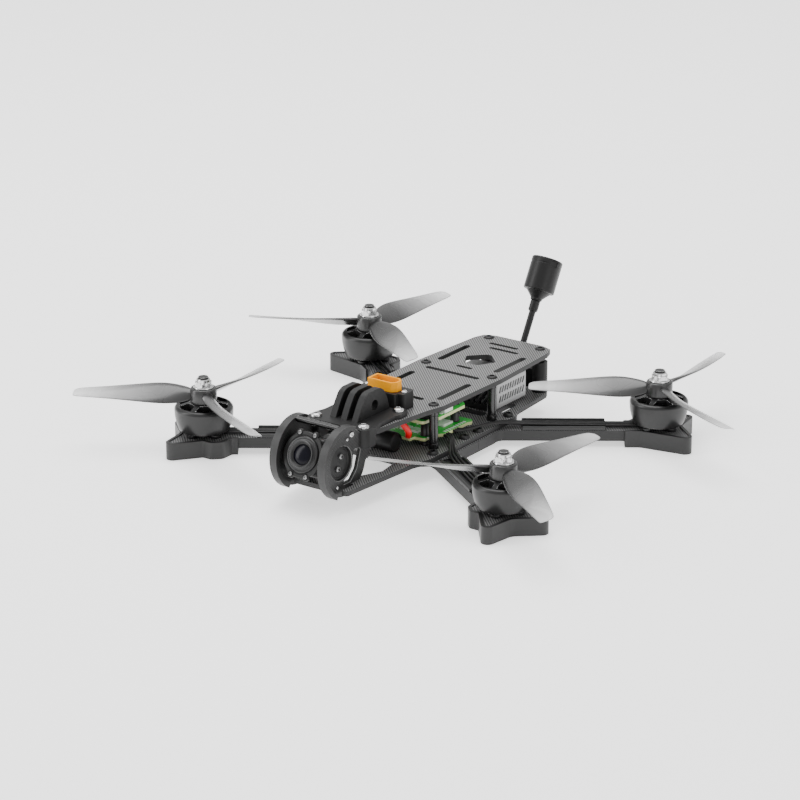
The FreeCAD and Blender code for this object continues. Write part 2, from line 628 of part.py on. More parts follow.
body = new_body("camera_case")
square = [(sx * 9.6, sz * 9.2, 2.0) for sx, sz in ((-1, -1), (1, -1), (1, 1), (-1, 1))]
FACE = -11.0  # the camera's front face, in front of its pivot
along_view(body, "case_block", rounded(square), FACE + 1.4, 8.5)
along_view(body, "case_flange", circle(0, 0, 11.2), FACE, FACE + 1.4)
EARS = [(4.4 * sx, 10.0 * sz) for sx, sz in ((-1, -1), (1, -1), (1, 1), (-1, 1))]
for k, (x, z) in enumerate(EARS):
    along_view(body, f"case_ear_{k}", circle(x, z, 1.9), FACE, FACE + 1.4)
camera_piece("camera_housing", body)

body = new_body("camera_barrel")
turn(body, "barrel_turned", polygon([(4.9, 11.0), (8.8, 11.0), (8.6, 11.6), (6.5, 11.8), (6.5, 12.6),
                                     (5.6, 12.6), (4.9, 12.0)]))
forward = Rotation(Vector(1, 0, 0), 90)
body.Placement = TILT.multiply(Placement(Vector(0, 0, 0), forward))
node("camera_lens", body)

body = new_body("camera_glass")
dome = [Part.Arc(Vector(0, 12.3, 0), Vector(2.6, 12.1, 0), Vector(4.9, 11.5, 0)),
        Part.LineSegment(Vector(4.9, 11.5, 0), Vector(4.9, 11.0, 0)),
        Part.LineSegment(Vector(4.9, 11.0, 0), Vector(0, 11.0, 0)),
        Part.LineSegment(Vector(0, 11.0, 0), Vector(0, 12.3, 0))]
turn(body, "glass_turned", dome)
body.Placement = TILT.multiply(Placement(Vector(0, 0, 0), forward))
node("lens_glass", body)

brackets = []
for name, s in (("left", 1), ("right", -1)):
    disc = cross_rod(f"bracket_disc_{name}", 9.0, *sorted((s * 10.6, s * 12.7)), 0, 0)
    hub = cross_rod(f"bracket_hub_{name}", 5.5, *sorted((s * 9.6, s * 10.6)), 0, 0)
    boss_x = sorted((s * 12.7, s * dim["boss_outer_x"]))
    boss = cross_rod(f"bracket_boss_{name}", "boss_radius", *boss_x, 0, 0)
    joined = fuse(f"bracket_{name}", [disc, hub, boss])
    joined.Placement = TILT
    brackets.append(joined)
group("camera_brackets", brackets)

heads = []
for name, s in (("left", 1), ("right", -1)):
    for k, z in enumerate((3.1, -3.1)):
        head_x = sorted((s * dim["boss_outer_x"], s * (dim["boss_outer_x"] + 0.9)))
        one = cross_rod(f"bracket_screw_{name}_{k}", 1.5, *head_x, 0, z)
        one.Placement = TILT.multiply(one.Placement)
        heads.append(one)
for k, (x, z) in enumerate(EARS):
    one = doc.addObject("Part::Cylinder", f"flange_screw_{k}")
    one.Radius, one.Height = 1.1, 0.7
    level = Placement(Vector(x, FACE, z), Rotation(Vector(1, 0, 0), 90))
    one.Placement = TILT.multiply(level)
    heads.append(one)
group("camera_screws", heads)

# ---------------------------------------------------------------- action-camera mount on the nose
base_high = dim["mount_high"]
slab_half = [
    (0, -80.5, 0), (9.6, -80.5, 1), (10.4, -80.9, 1), (18.2, -80.9, 4.0), (18.2, -72.5, 3), (16.8, -66, 3),
    (16.8, -55, 3), (18.2, -52.4, 3), (18.2, -44.0, 4.0), (10.0, -44.0, 3.5), (10.0, -46.6, 0), (0, -46.6, 0)]
body = new_body("mount_block")
pad(body, "mount_slab", rounded(mirrored(slab_half)), "deck_high", "mount_high")
for name, s in (("left", 1), ("right", -1)):
    boss_plan = [(s * 9.6, -80.9, 1), (s * 18.2, -80.9, 4.0), (s * 18.2, -72.2, 1), (s * 9.6, -72.2, 1)]
    pad(body, f"mount_boss_{name}", rounded(boss_plan), "deck_high - 7", "deck_high + 1")
fingers = []
finger_plan = [(-74.0, base_high - 0.6, 0), (-70.4, 40.8, 5), (-66.0, 47.2, 6.5), (-53.0, 47.2, 6.5),
               (-49.2, 40.8, 5), (-47.0, base_high - 0.6, 0)]
for k in (-1, 0, 1):
    finger = new_body(f"finger_{k + 1}")
    profile = rounded(finger_plan) + circle(dim["finger_y"], dim["finger_z"], dim["finger_bore"])
    pad(finger, f"finger_pad_{k + 1}", profile, f"{k} * finger_pitch - finger_width / 2",
        f"{k} * finger_pitch + finger_width / 2")
    finger.Placement.Rotation = SIDEWAYS
    fingers.append(finger)
joined = fuse("mount_joined", [body] + fingers)
slots = []
for name, s in (("left", 1), ("right", -1)):
    low_x = dim["side_inner_x"] if s > 0 else -dim["side_outer_x"]
    slots.append(block(f"cheek_slot_{name}", (low_x, -90, 20), (low_x + 2.0, -70, dim["deck_low"] + 0.02)))
    slots.append(block(f"lobe_slot_{name}", (low_x, -90, 20), (low_x + 2.0, -77.9, 34.0)))
    for spot, y, low in (("front", -76.6, "deck_low + 0.5"), ("rear", -48.3, "deck_low")):
        slots.append(rod(f"mount_hole_{spot}_{name}", "screw_radius", low, "mount_high + 1", s * 14, y))
node("action_camera_mount", cut("mount_cut", joined, fuse("mount_openings", slots)))

for name, s in (("left", 1), ("right", -1)):
    for spot, y, low in (("front", -76.6, "deck_low + 0.5"), ("rear", -48.3, "deck_low")):
        shank = rod(f"mount_shank_{spot}_{name}", "screw_radius", low, "mount_high", s * 14, y)
        head = doc.addObject("Part::Cylinder", f"mount_head_{spot}_{name}")
        head.setExpression("Radius", formula("screw_head"))
        head.Height = 1.7
        head.Placement.Base = Vector(s * 14, y, base_high)
        screws.append(fuse(f"mount_screw_{spot}_{name}", [shank, head]))
    for k, (y, z, radius) in enumerate(((-87.9, 34.9, 1.6), (-91.6, 33.4, 0.8), (-99.6, 11.6, 0.8))):
        screws.append(cross_rod(f"cage_screw_{k}_{name}", radius, *sorted((s * 15.0, s * 15.9)), y, z))
    ear = doc.addObject("Part::Cylinder", f"holder_screw_{name}")
    ear.Radius, ear.Height = 1.5, 1.1
    ear.Placement.Base = Vector(s * 10.8, dim["socket_y"], dim["holder_high"])
    screws.append(ear)
group("frame_screws", screws)

# ---------------------------------------------------------------- power connector
body = new_body("holder_block")
y0 = dim["socket_y"]
shell = [
    (-8.05, y0 - 4.1, 0), (5.6, y0 - 4.1, 0), (8.05, y0 - 1.7, 0), (8.05, y0 + 1.7, 0), (5.6, y0 + 4.1, 0),
    (-8.05, y0 + 4.1, 0)]
outer_half = [
    (0, y0 - 6.0, 0), (9.6, y0 - 6.0, 1), (9.6, y0 - 3.7, 0), (13.2, y0 - 3.7, 1.5), (13.2, y0 + 6.0, 2.5),
    (0, y0 + 6.0, 0)]
pad(body, "holder_pad", rounded(mirrored(outer_half)), "deck_high", "holder_high")
pocket(body, "holder_seat", rounded(shell), "holder_high", "socket_low")
pocket(body, "holder_lead_holes", circle(-3.6, y0, 1.7) + circle(3.6, y0, 1.7), "socket_low", "deck_high")
node("connector_holder", body)
body = new_body("connector_shell")
pad(body, "shell_pad", rounded(shell), "socket_low", "socket_high")
pocket(body, "shell_well", rounded(inset(shell, 1.0)), "socket_high", "socket_high - 8")
pins_plan = circle(-3.6, y0, 1.75) + circle(3.6, y0, 1.75)
pocket(body, "shell_pin_holes", pins_plan, "socket_high - 8", "socket_low")
node("power_connector", body)
group("power_contacts", [rod(f"contact_{k}", "standoff_radius - 0.75", "socket_low", "socket_high - 1.4",
                             x, y0) for k, x in enumerate((-3.6, 3.6))])

# ---------------------------------------------------------------- electronics stack
esc_half = [
    (0, -32.0, 0), (9.5, -32.0, 1), (9.5, -28.8, 1), (15.6, -28.4, 1), (15.6, -20.5, 1), (19.3, -17.0, 1),
    (19.3, 2.6, 1), (20.6, 5.0, 1), (19.0, 7.6, 1), (0, 7.6, 0)]
outline = rounded(mirrored(esc_half))
for x, y in STACK_POSTS:
    outline += circle(x, y, dim["screw_radius"])
node("speed_controller", plate("speed_controller", outline, "esc_low", "esc_low + board_thick"))
flight_half = [
    (0, -29.5, 0), (15.6, -29.5, 2), (15.6, -21.5, 1), (18.0, -19.5, 1), (18.0, 2.4, 1), (15.4, 5.4, 1),
    (0, 5.4, 0)]
outline = rounded(mirrored(flight_half))
for x, y in STACK_POSTS:
    outline += circle(x, y, dim["screw_radius"])
node("flight_controller", plate("flight_controller", outline, "flight_low", "flight_low + board_thick"))
posts = []
for k, (x, y) in enumerate(STACK_POSTS):
    core = rod(f"stack_core_{k}", "screw_radius", "arm_high", "flight_low + board_thick + 3", x, y)
    low_gummy = rod(f"stack_gummy_low_{k}", "standoff_radius", "main_high", "esc_low", x, y)
    mid_gummy = rod(f"stack_gummy_mid_{k}", "standoff_radius", "esc_low + board_thick", "flight_low", x, y)
    cap_nut = rod(f"stack_nut_{k}", "standoff_radius", "flight_low + board_thick",
                  "flight_low + board_thick + 2.4", x, y)
    posts.append(fuse(f"stack_post_{k}", [core, low_gummy, mid_gummy, cap_nut]))
group("stack_posts", posts)
esc_top, flight_top = dim["esc_low"] + dim["board_thick"], dim["flight_low"] + dim["board_thick"]
chips = [block("chip_processor", (-5, -14, flight_top), (5, -4, flight_top + 1.2)),
         block("chip_driver_left", (8, -10, esc_top), (14, -2, esc_top + 1.1)),
         block("chip_driver_right", (-14, -10, esc_top), (-8, -2, esc_top + 1.1)),
         block("chip_row_front", (-9.6, -25, esc_top), (9.6, -19, esc_top + 1.1))]
chips += [block("plug_rear", (5.0, 0.2, flight_top), (9.8, 4.8, flight_top + 3.0)),
         block("plug_front", (-4, -29, flight_top), (4, -25, flight_top + 3.0)),
         block("plug_side", (13.5, -14, flight_top), (17.5, -7, flight_top + 3.0))]
group("board_parts", chips)

body = new_body("capacitor_can")
turn(body, "capacitor_turned", polygon([(0, 0), (4.6, 0), (5.0, 0.6), (5.0, 15.4), (4.6, 16), (0, 16)]))
body.Placement = Placement(Vector(-8, -41.5, 15.0), Rotation(Vector(0, 1, 0), 90))
node("capacitor", body)

red_route = [
    (3.6, dim["socket_y"], dim["socket_low"]), (3.6, dim["socket_y"], 30.5), (10.0, -40.5, 26.0),
    (13.8, -38.5, 20.5), (10.0, -35.0, 16.25), (7.2, -30.6, 16.25)]
black_route = [(-x, y, z) for x, y, z in red_route]
node("power_lead_red", shaped("red_lead", tube(red_route, 1.5)))
node("power_lead_black", shaped("black_lead", tube(black_route, 1.5)))

# ---------------------------------------------------------------- video transmitter
half, front, back = dim["video_half"], dim["video_front"], dim["video_back"]
body = new_body("video_case")
case = [(-half, front, 0.8), (half, front, 0.8), (half, back, 0.8), (-half, back, 0.8)]
pad(body, "video_block", rounded(case), "video_low", "video_high")
for k, (x, y) in enumerate(((-12, front + 4), (12, front + 4), (-12, back - 4), (12, back - 4))):
    pad(body, f"video_foot_{k}", circle(x, y, 2.0), "main_high", "video_low + 1")
pocket(body, "video_button_well", circle(9.0, back - 8.0, 1.3), "video_high", "video_high - 2")
node("video_unit", body)
grille = rounded([(-half, front - 2.0, 0), (half, front - 2.0, 0), (half, front, 0), (-half, front, 0)])
node("video_grille", plate("video_grille", grille, "main_high + 0.1", "video_high"))
button = rod("link_button_rod", "stem_radius - 0.5", "video_high - 1.2", "video_high + 0.6", 9.0, back - 8.0)
node("link_button", button)

# ---------------------------------------------------------------- antenna at the tail
LEAN_BACK = Rotation(Vector(1, 0, 0), -dim["antenna_lean"])
lean = math.radians(dim["antenna_lean"])
foot_length = 15.8
CAP_FOOT = 21.4  # from the top plate's level to the cap, along the stem


def on_stem(distance):
    """Spot on the antenna's axis, measured up from the level where it leaves the top plate."""
    return Vector(0, dim["stem_y"] + distance * math.sin(lean), dim["stem_z"] + distance * math.cos(lean))


stem = doc.addObject("Part::Cylinder", "stem_rod")
stem.setExpression("Radius", formula("stem_radius"))
stem.Height = foot_length + CAP_FOOT
stem.Placement = Placement(on_stem(-foot_length), LEAN_BACK)
node("antenna_stem", stem)
body = new_body("antenna_housing")
turn(body, "housing_turned", polygon([(0, 0), (2.9, 0), (3.1, 1.2), (6.6, 5.0), (dim["cap_radius"], 5.0),
                                      (dim["cap_radius"], 21.6), (7.4, 22.3), (0, 22.3)]))
body.Placement = Placement(on_stem(CAP_FOOT), LEAN_BACK)
node("antenna_cap", body)
sleeves = [rod(f"sleeve_{k}", "standoff_radius + 1.5", "main_high", "main_high + 16", x, 73.4)
           for k, x in enumerate((-15.7, 15.7))]
bridge = block("antenna_bridge", (-15.7, 70.4, 12.0), (15.7, 76.4, 22.0))
collar = doc.addObject("Part::Cylinder", "antenna_collar")
collar.Radius, collar.Height = 3.4, 12.0
collar.Placement = Placement(on_stem(-16.6), LEAN_BACK)
blank = fuse("antenna_mount_blank", sleeves + [bridge, collar])
bores = [rod(f"sleeve_bore_{k}", "standoff_radius", "main_high - 1", "main_high + 17", x, 73.4)
         for k, x in enumerate((-15.7, 15.7))]
stem_room = doc.addObject("Part::Cylinder", "stem_room")
stem_room.setExpression("Radius", formula("stem_radius"))
stem_room.Height = 30
stem_room.Placement = Placement(on_stem(-foot_length), LEAN_BACK)
node("antenna_mount", cut("antenna_mount_cut", blank, fuse("antenna_mount_bores", bores + [stem_room])))

# ---------------------------------------------------------------- check and write
doc.recompute()
for made in doc.Objects:
    if "Invalid" in made.State or "Error" in made.State:
        raise ValueError(f"{made.Label} failed: {made.State}")
os.makedirs("parts", exist_ok=True)
for label, made in NODES.items():
    shape = made.Shape
    if shape.isNull() or not shape.isValid():
        raise ValueError(f"{label} has no valid shape")
    shape.exportStep(f"parts/{label}.step")
print(len(NODES), "nodes written")
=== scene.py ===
import json
import math
import random

import bmesh
import bpy
from mathutils import Matrix, Vector

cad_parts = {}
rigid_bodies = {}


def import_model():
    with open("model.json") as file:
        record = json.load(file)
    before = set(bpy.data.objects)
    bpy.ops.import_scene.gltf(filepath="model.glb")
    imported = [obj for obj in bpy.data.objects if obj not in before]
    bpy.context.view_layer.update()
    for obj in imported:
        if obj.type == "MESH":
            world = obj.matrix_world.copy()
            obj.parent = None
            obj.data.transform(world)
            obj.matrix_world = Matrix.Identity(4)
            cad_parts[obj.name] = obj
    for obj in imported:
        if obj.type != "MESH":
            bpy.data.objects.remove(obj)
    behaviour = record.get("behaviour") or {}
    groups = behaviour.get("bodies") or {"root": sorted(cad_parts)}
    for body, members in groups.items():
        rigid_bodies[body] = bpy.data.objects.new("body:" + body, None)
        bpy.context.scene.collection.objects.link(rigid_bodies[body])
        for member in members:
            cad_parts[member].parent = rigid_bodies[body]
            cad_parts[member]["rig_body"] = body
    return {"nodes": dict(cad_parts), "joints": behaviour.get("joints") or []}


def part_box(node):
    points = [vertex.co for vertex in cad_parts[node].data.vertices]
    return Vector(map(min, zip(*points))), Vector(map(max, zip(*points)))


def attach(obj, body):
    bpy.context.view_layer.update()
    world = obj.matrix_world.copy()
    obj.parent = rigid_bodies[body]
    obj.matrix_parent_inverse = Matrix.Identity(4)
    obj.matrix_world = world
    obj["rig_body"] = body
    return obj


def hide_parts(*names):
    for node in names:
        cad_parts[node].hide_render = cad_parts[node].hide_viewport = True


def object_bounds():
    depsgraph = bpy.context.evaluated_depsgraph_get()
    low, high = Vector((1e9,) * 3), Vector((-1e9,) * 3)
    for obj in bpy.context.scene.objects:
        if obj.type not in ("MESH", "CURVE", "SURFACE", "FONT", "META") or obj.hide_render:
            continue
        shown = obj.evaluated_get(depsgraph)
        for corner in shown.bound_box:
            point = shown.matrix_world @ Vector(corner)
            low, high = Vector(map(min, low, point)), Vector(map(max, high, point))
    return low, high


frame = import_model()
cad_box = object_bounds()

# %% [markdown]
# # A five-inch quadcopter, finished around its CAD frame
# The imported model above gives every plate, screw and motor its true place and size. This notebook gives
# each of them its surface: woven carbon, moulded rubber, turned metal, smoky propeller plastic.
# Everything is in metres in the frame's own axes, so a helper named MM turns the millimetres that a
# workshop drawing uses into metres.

MM = 0.001
ARM_ANGLE = math.radians(35)
# name: side sign, end sign, spin seen from above (+1 anticlockwise), blade phase in degrees
CORNERS = {
    "front_right": (-1, -1, -1, 90.0),
    "rear_right": (-1, 1, 1, 87.5),
    "rear_left": (1, 1, -1, 90.5),
    "front_left": (1, -1, 1, 82.8),
}
MOTOR_AT = {joint["child"].replace("rotor_", ""): Vector((joint["pos_m"][0], joint["pos_m"][1], 0))
            for joint in frame["joints"] if joint["child"].startswith("rotor_")}


def middle(node):
    """Centre of a CAD node's box, in metres."""
    low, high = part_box(node)
    return (low + high) / 2


print("frame box", [round(v / MM, 1) for v in (cad_box[1] - cad_box[0])], "mm;", len(frame["nodes"]), "nodes")

# %% [markdown]
# ## The camera
# The view fixes how much detail each piece needs, so the camera comes first. It stands to the front and
# left of the machine, twenty degrees above it, and far away: a long lens flattens perspective, as in a
# product photograph. Azimuth, height and distance describe that better than a raw position, so the
# position is worked out from them.

# %% Camera
AIM_AT = Vector((-20.4, 1.2, 18.5)) * MM
VIEW_AZIMUTH = math.radians(35.54)
VIEW_HEIGHT = math.radians(19.83)
VIEW_DISTANCE = 1.6


def aim(obj, target):
    """Turns a camera or a light so that its own -Z axis points at the target."""
    obj.rotation_euler = (Vector(target) - obj.location).to_track_quat("-Z", "Y").to_euler()


camera = bpy.data.objects.new("camera", bpy.data.cameras.new("camera"))
bpy.context.scene.collection.objects.link(camera)
level = math.cos(VIEW_HEIGHT)
toward_camera = Vector((level * math.sin(VIEW_AZIMUTH), -level * math.cos(VIEW_AZIMUTH),
                        math.sin(VIEW_HEIGHT)))
camera.location = AIM_AT + toward_camera * VIEW_DISTANCE
aim(camera, AIM_AT)
camera.data.lens = 144.1
camera.data.sensor_width = 36
camera.data.clip_start = 0.05
bpy.context.scene.camera = camera
print("camera at", [round(v / MM) for v in camera.location], "mm")

# %% [markdown]
# ## Nodes without clutter
# Every material here is a small node tree. Typing out each node and link hides the idea, so two helpers
# do it: one adds a node and fills its sockets, with a value or with a link, and one does a sum and hands
# back the answer.

# %% Node helpers


def add_node(tree, kind, sockets=None, **settings):
    """Adds a shader node; a socket given another node's output is linked, any other value is set."""
    made = tree.nodes.new("ShaderNode" + kind)
    for key, value in settings.items():
        setattr(made, key, value)
    for key, value in (sockets or {}).items():
        if isinstance(value, bpy.types.NodeSocket):
            tree.links.new(value, made.inputs[key])
        else:
            made.inputs[key].default_value = value
    return made


def sum_of(tree, operation, first, second=0.0, third=0.0):
    made = add_node(tree, "Math", {0: first, 1: second, 2: third}, operation=operation)
    return made.outputs[0]


def blend_colours(tree, factor, first, second):
    """Colour that goes from first to second as the factor goes from 0 to 1."""
    made = add_node(tree, "Mix", data_type="RGBA")
    for key, value in zip(("Factor", "A", "B"), (factor, first, second)):
        kind = "VALUE" if key == "Factor" else "RGBA"
        socket = [s for s in made.inputs if s.name == key and s.type == kind][0]
        if isinstance(value, bpy.types.NodeSocket):
            tree.links.new(value, socket)
        else:
            socket.default_value = value
    return [s for s in made.outputs if s.type == "RGBA"][0]


def grey(value, tint=(1, 1, 1)):
    return (value * tint[0], value * tint[1], value * tint[2], 1)


def start_material(name, **constants):
    """A new material with its shader, a tree and object coordinates; constants go straight on the shader."""
    made = bpy.data.materials.new(name)
    made.use_nodes = True
    shader = made.node_tree.nodes["Principled BSDF"]
    for key, value in constants.items():
        shader.inputs[key.replace("_", " ")].default_value = value
    place = add_node(made.node_tree, "TexCoord").outputs["Object"]
    return made, made.node_tree, shader, place


def finish(name, colour, rough, grain=0.4, vary=0.2, bump=0.01, stretch=(1, 1, 1), **constants):
    """A surface with grain: a noise, sized in millimetres, changes colour and gloss and lifts the surface."""
    made, tree, shader, place = start_material(name, **constants)
    mapped = add_node(tree, "Mapping", {"Vector": place, "Scale": stretch}).outputs[0]
    fine_scale, broad_scale = 1 / (grain * MM), 1 / (25 * MM)
    fine = add_node(tree, "TexNoise", {"Vector": mapped, "Scale": fine_scale, "Detail": 4}).outputs["Fac"]
    broad = add_node(tree, "TexNoise", {"Vector": place, "Scale": broad_scale, "Detail": 2}).outputs["Fac"]
    both = sum_of(tree, "MULTIPLY_ADD", fine, 0.6, sum_of(tree, "MULTIPLY", broad, 0.4))
    dark = tuple(c * (1 - vary) for c in colour[:3]) + (1,)
    light = tuple(c * (1 + vary) for c in colour[:3]) + (1,)
    tree.links.new(blend_colours(tree, both, dark, light), shader.inputs["Base Color"])
    tree.links.new(sum_of(tree, "MULTIPLY_ADD", both, rough * 0.3, rough * 0.85), shader.inputs["Roughness"])
    raised = add_node(tree, "Bump", {"Height": fine, "Strength": 0.5, "Distance": bump * MM})
    tree.links.new(raised.outputs[0], shader.inputs["Normal"])
    return made


print("node helpers ready")

# %% [markdown]
# ## Woven carbon
# The plates are cut from carbon laminate. Its top skin is a twill: each thread passes over two and under
# two, and the step moves by one thread per row, which draws diagonal lines. Counting threads gives that
# with arithmetic alone: the thread number across plus the thread number along, modulo four, says which
# thread lies on top. The thread on top is painted light and the one beneath dark, a painted sheen, and
# each thread is painted darker towards its edges, a painted shade. Cut edges show no weave but thin
# layers, so faces that don't look along the skin's normal get fine lines instead.

# %% Carbon twill
THREAD = 0.42


# dark and light are the colours of the threads beneath and on top; the gap between them is painted sheen
def carbon(name, across, along, through, dark=0.012, light=0.16, rough=0.34):
    made, tree, shader, place = start_material(name, Specular_IOR_Level=0.4)
    axes = add_node(tree, "SeparateXYZ", {0: place}).outputs
    first = sum_of(tree, "DIVIDE", axes[across], THREAD * MM)
    second = sum_of(tree, "DIVIDE", axes[along], THREAD * MM)
    count = sum_of(tree, "ADD", sum_of(tree, "FLOOR", first), sum_of(tree, "FLOOR", second))
    on_top = sum_of(tree, "LESS_THAN", sum_of(tree, "FLOORED_MODULO", count, 4.0), 2.0)
    backs = []
    for threads in (first, second):
        offset = sum_of(tree, "MULTIPLY_ADD", sum_of(tree, "FRACT", threads), 2.0, -1.0)
        backs.append(sum_of(tree, "SUBTRACT", 1.0, sum_of(tree, "MULTIPLY", offset, offset)))
    height = add_node(tree, "Mix", {"Factor": on_top, "A": backs[1], "B": backs[0]}).outputs[0]
    # painted sheen: the thread on top takes the light colour and the one beneath the dark; the fibre is the
    # same black in both
    painted_sheen_weave = blend_colours(tree, on_top, grey(dark), grey(light))
    # painted shade: each thread is darkened towards its edges, where it dips under its neighbour
    painted_thread_shade = sum_of(tree, "MULTIPLY_ADD", height, 0.35, 0.65)
    skin = add_node(tree, "VectorMath", {0: painted_sheen_weave, 1: painted_thread_shade}, operation="MULTIPLY").outputs[0]
    wave = {"Vector": place, "Scale": 1 / (1.3 * MM), "Distortion": 1.5, "Detail": 2}
    layers = add_node(tree, "TexWave", wave, bands_direction="XYZ"[through]).outputs["Fac"]
    cut_side = blend_colours(tree, layers, grey(0.012), grey(0.03))
    facing = add_node(tree, "SeparateXYZ", {0: add_node(tree, "TexCoord").outputs["Normal"]}).outputs[through]
    is_skin = sum_of(tree, "GREATER_THAN", sum_of(tree, "ABSOLUTE", facing), 0.9)
    tree.links.new(blend_colours(tree, is_skin, cut_side, skin), shader.inputs["Base Color"])
    skin_rough = sum_of(tree, "MULTIPLY_ADD", on_top, 0.1, rough)
    rough_mix = add_node(tree, "Mix", {"Factor": is_skin, "A": 0.6, "B": skin_rough}).outputs[0]
    tree.links.new(rough_mix, shader.inputs["Roughness"])
    lift = sum_of(tree, "MULTIPLY", height, is_skin)
    raised = add_node(tree, "Bump", {"Height": lift, "Strength": 0.25, "Distance": 0.03 * MM})
    tree.links.new(raised.outputs[0], shader.inputs["Normal"])
    return made


CARBON_FLAT = carbon("carbon_flat", 0, 1, 2, dark=0.006, light=0.26)
CARBON_SIDE = carbon("carbon_side", 1, 2, 0, dark=0.008, light=0.022)
CARBON_ARM = carbon("carbon_arm", 0, 1, 2, dark=0.008, light=0.2)
print("carbon twill, thread", THREAD, "mm")

# %% [markdown]
# ## The other finishes
# The rest of the machine is moulded rubber, black anodised aluminium, plated steel and a few coloured
# plastics. They differ in colour, gloss and the size of their grain, so one function makes them all and
# the differences stand in a short list. Turned metal gets its noise stretched thin, which reads as fine
# machining lines.

# %% Finishes
RUBBER = finish("moulded_rubber", grey(0.016), 0.42, grain=0.35, bump=0.01, Specular_IOR_Level=0.4)
# painted shade: a darker rubber for the feet's rounded edges
RUBBER_SHADED_EDGE = finish("rubber_lip", grey(0.006), 0.4, grain=0.35, bump=0.008, Specular_IOR_Level=0.25)
# painted highlight: a paler rubber for the camera rims' rounded edges
RUBBER_HIGHLIGHT_EDGE = finish("rubber_edge", grey(0.07), 0.3, grain=0.35, bump=0.006)
PRINTED = finish("printed_rubber", grey(0.009), 0.5, grain=0.25, bump=0.02, stretch=(0.15, 0.15, 1),
                 Specular_IOR_Level=0.3)
LATHED = (0.3, 0.3, 1)
ANODISED = finish("anodised_black", grey(0.012), 0.34, grain=0.2, bump=0.003, stretch=LATHED, Metallic=0.2)
POLISHED = finish("polished_black", grey(0.05), 0.2, grain=0.2, bump=0.002, stretch=LATHED, Metallic=0.9)
BRIGHT_CUT = finish("bright_cut", grey(0.95), 0.3, grain=0.15, bump=0.002, Metallic=1.0)
# painted highlight: a light grey for the camera side plates' rounded edges
EDGE_HIGHLIGHT = finish("sanded_edge", grey(0.16), 0.35, grain=0.2, bump=0.004)
PLATED = finish("plated_steel", grey(0.6), 0.2, grain=0.2, bump=0.004, Metallic=1.0)
DULL_STEEL = finish("dull_steel", grey(0.22), 0.28, grain=0.2, bump=0.004, Metallic=1.0)
BLACK_OXIDE = finish("black_oxide", grey(0.02), 0.34, grain=0.2, bump=0.006, Metallic=0.6)
CASE_BLACK = finish("case_black", grey(0.006), 0.4, grain=0.3, bump=0.005, Specular_IOR_Level=0.3)
RING_BLACK = finish("ring_black", grey(0.012), 0.3, grain=0.3, bump=0.003, Specular_IOR_Level=0.4)
AMBER = finish("amber_nylon", (0.92, 0.36, 0.0, 1), 0.5, grain=0.5, vary=0.05, bump=0.005,
               Specular_IOR_Level=0.1)
GOLD = finish("gold_plate", (0.75, 0.5, 0.15, 1), 0.25, grain=0.2, vary=0.1, bump=0.003, Metallic=1.0)
WHITE_PART = finish("white_nylon", grey(0.8, (1, 0.99, 0.95)), 0.45, grain=0.4, vary=0.06, bump=0.005)
CHIP = finish("chip_epoxy", grey(0.008), 0.45, grain=0.2, bump=0.005, Specular_IOR_Level=0.3)
TIN = finish("solder_tin", grey(0.7), 0.3, grain=0.3, bump=0.01, Metallic=1.0)
COPPER = finish("lacquered_copper", (0.36, 0.13, 0.04, 1), 0.3, grain=0.3, bump=0.02, Metallic=0.9)
LAMINATE = finish("core_sheets", grey(0.06), 0.45, grain=0.2, bump=0.01, stretch=(0.1, 0.1, 1), Metallic=0.5)
SILICONE_RED = finish("silicone_red", (0.75, 0.006, 0.008, 1), 0.38, grain=0.6, vary=0.08, bump=0.008)
SILICONE_BLACK = finish("silicone_black", grey(0.008), 0.4, grain=0.6, bump=0.01, Specular_IOR_Level=0.3)
SLEEVE = finish("shrink_sleeve", grey(0.012), 0.3, grain=0.8, bump=0.006, Specular_IOR_Level=0.4)
ALLOY = finish("blasted_alloy", grey(0.34), 0.42, grain=0.18, vary=0.08, bump=0.008, Metallic=0.5)
HUB_SMOKE = finish("hub_smoke", grey(0.02), 0.25, grain=2.0, vary=0.1, bump=0.004)
GLASS = finish("coated_glass", (0.003, 0.003, 0.006, 1), 0.16, grain=4.0, bump=0.0, Specular_IOR_Level=0.12)
print(len(bpy.data.materials), "materials")

# %% [markdown]
# ## Turning, stamping and recutting
# Three ways of making a mesh cover almost every piece. *Turned* parts are stacks of rings: a screw head,
# a nut, a bell. A ring can be round or have six flats, so a hexagon socket is just a ring of another
# shape. *Stamped* parts are repeats of one mesh at many places. *Recut* parts start from the CAD plate's
# own outline, and get what CAD leaves out: the small rounded edge that catches the light on every real
# part.

# %% Mesh helpers


def ring_radius(shape, radius, angle):
    """Distance from the axis: a round ring, one with six flats, or one with fine teeth."""
    if shape == "hex":
        return radius / math.cos((angle % (math.pi / 3)) - math.pi / 6)
    if shape == "teeth":
        return radius * (1 + 0.035 * (1 if math.sin(24 * angle) > 0 else -1))
    return radius


def turned(profile, sides=48, closed=False):
    """Mesh from (radius, height) or (radius, height, shape) rings in mm; a radius of 0 closes to a point."""
    bm = bmesh.new()
    loops = []
    for radius, height, *shape in profile:
        count = sides if radius else 1
        loop = []
        for i in range(count):
            step = i + 0.5 if shape and shape[0] == "teeth" else i
            angle = 2 * math.pi * step / sides
            reach = ring_radius(shape[0] if shape else "round", radius, angle) * MM
            loop.append(bm.verts.new((reach * math.cos(angle), reach * math.sin(angle), height * MM)))
        loops.append(loop)
    pairs = list(zip(loops, loops[1:])) + ([(loops[-1], loops[0])] if closed else [])
    for low, high in pairs:
        for i in range(sides):
            j = (i + 1) % sides
            ring = [low[i % len(low)], low[j % len(low)], high[j % len(high)], high[i % len(high)]]
            corners = list(dict.fromkeys(ring))
            if len(corners) > 2:
                bm.faces.new(corners)
    bmesh.ops.recalc_face_normals(bm, faces=bm.faces)
    return bm


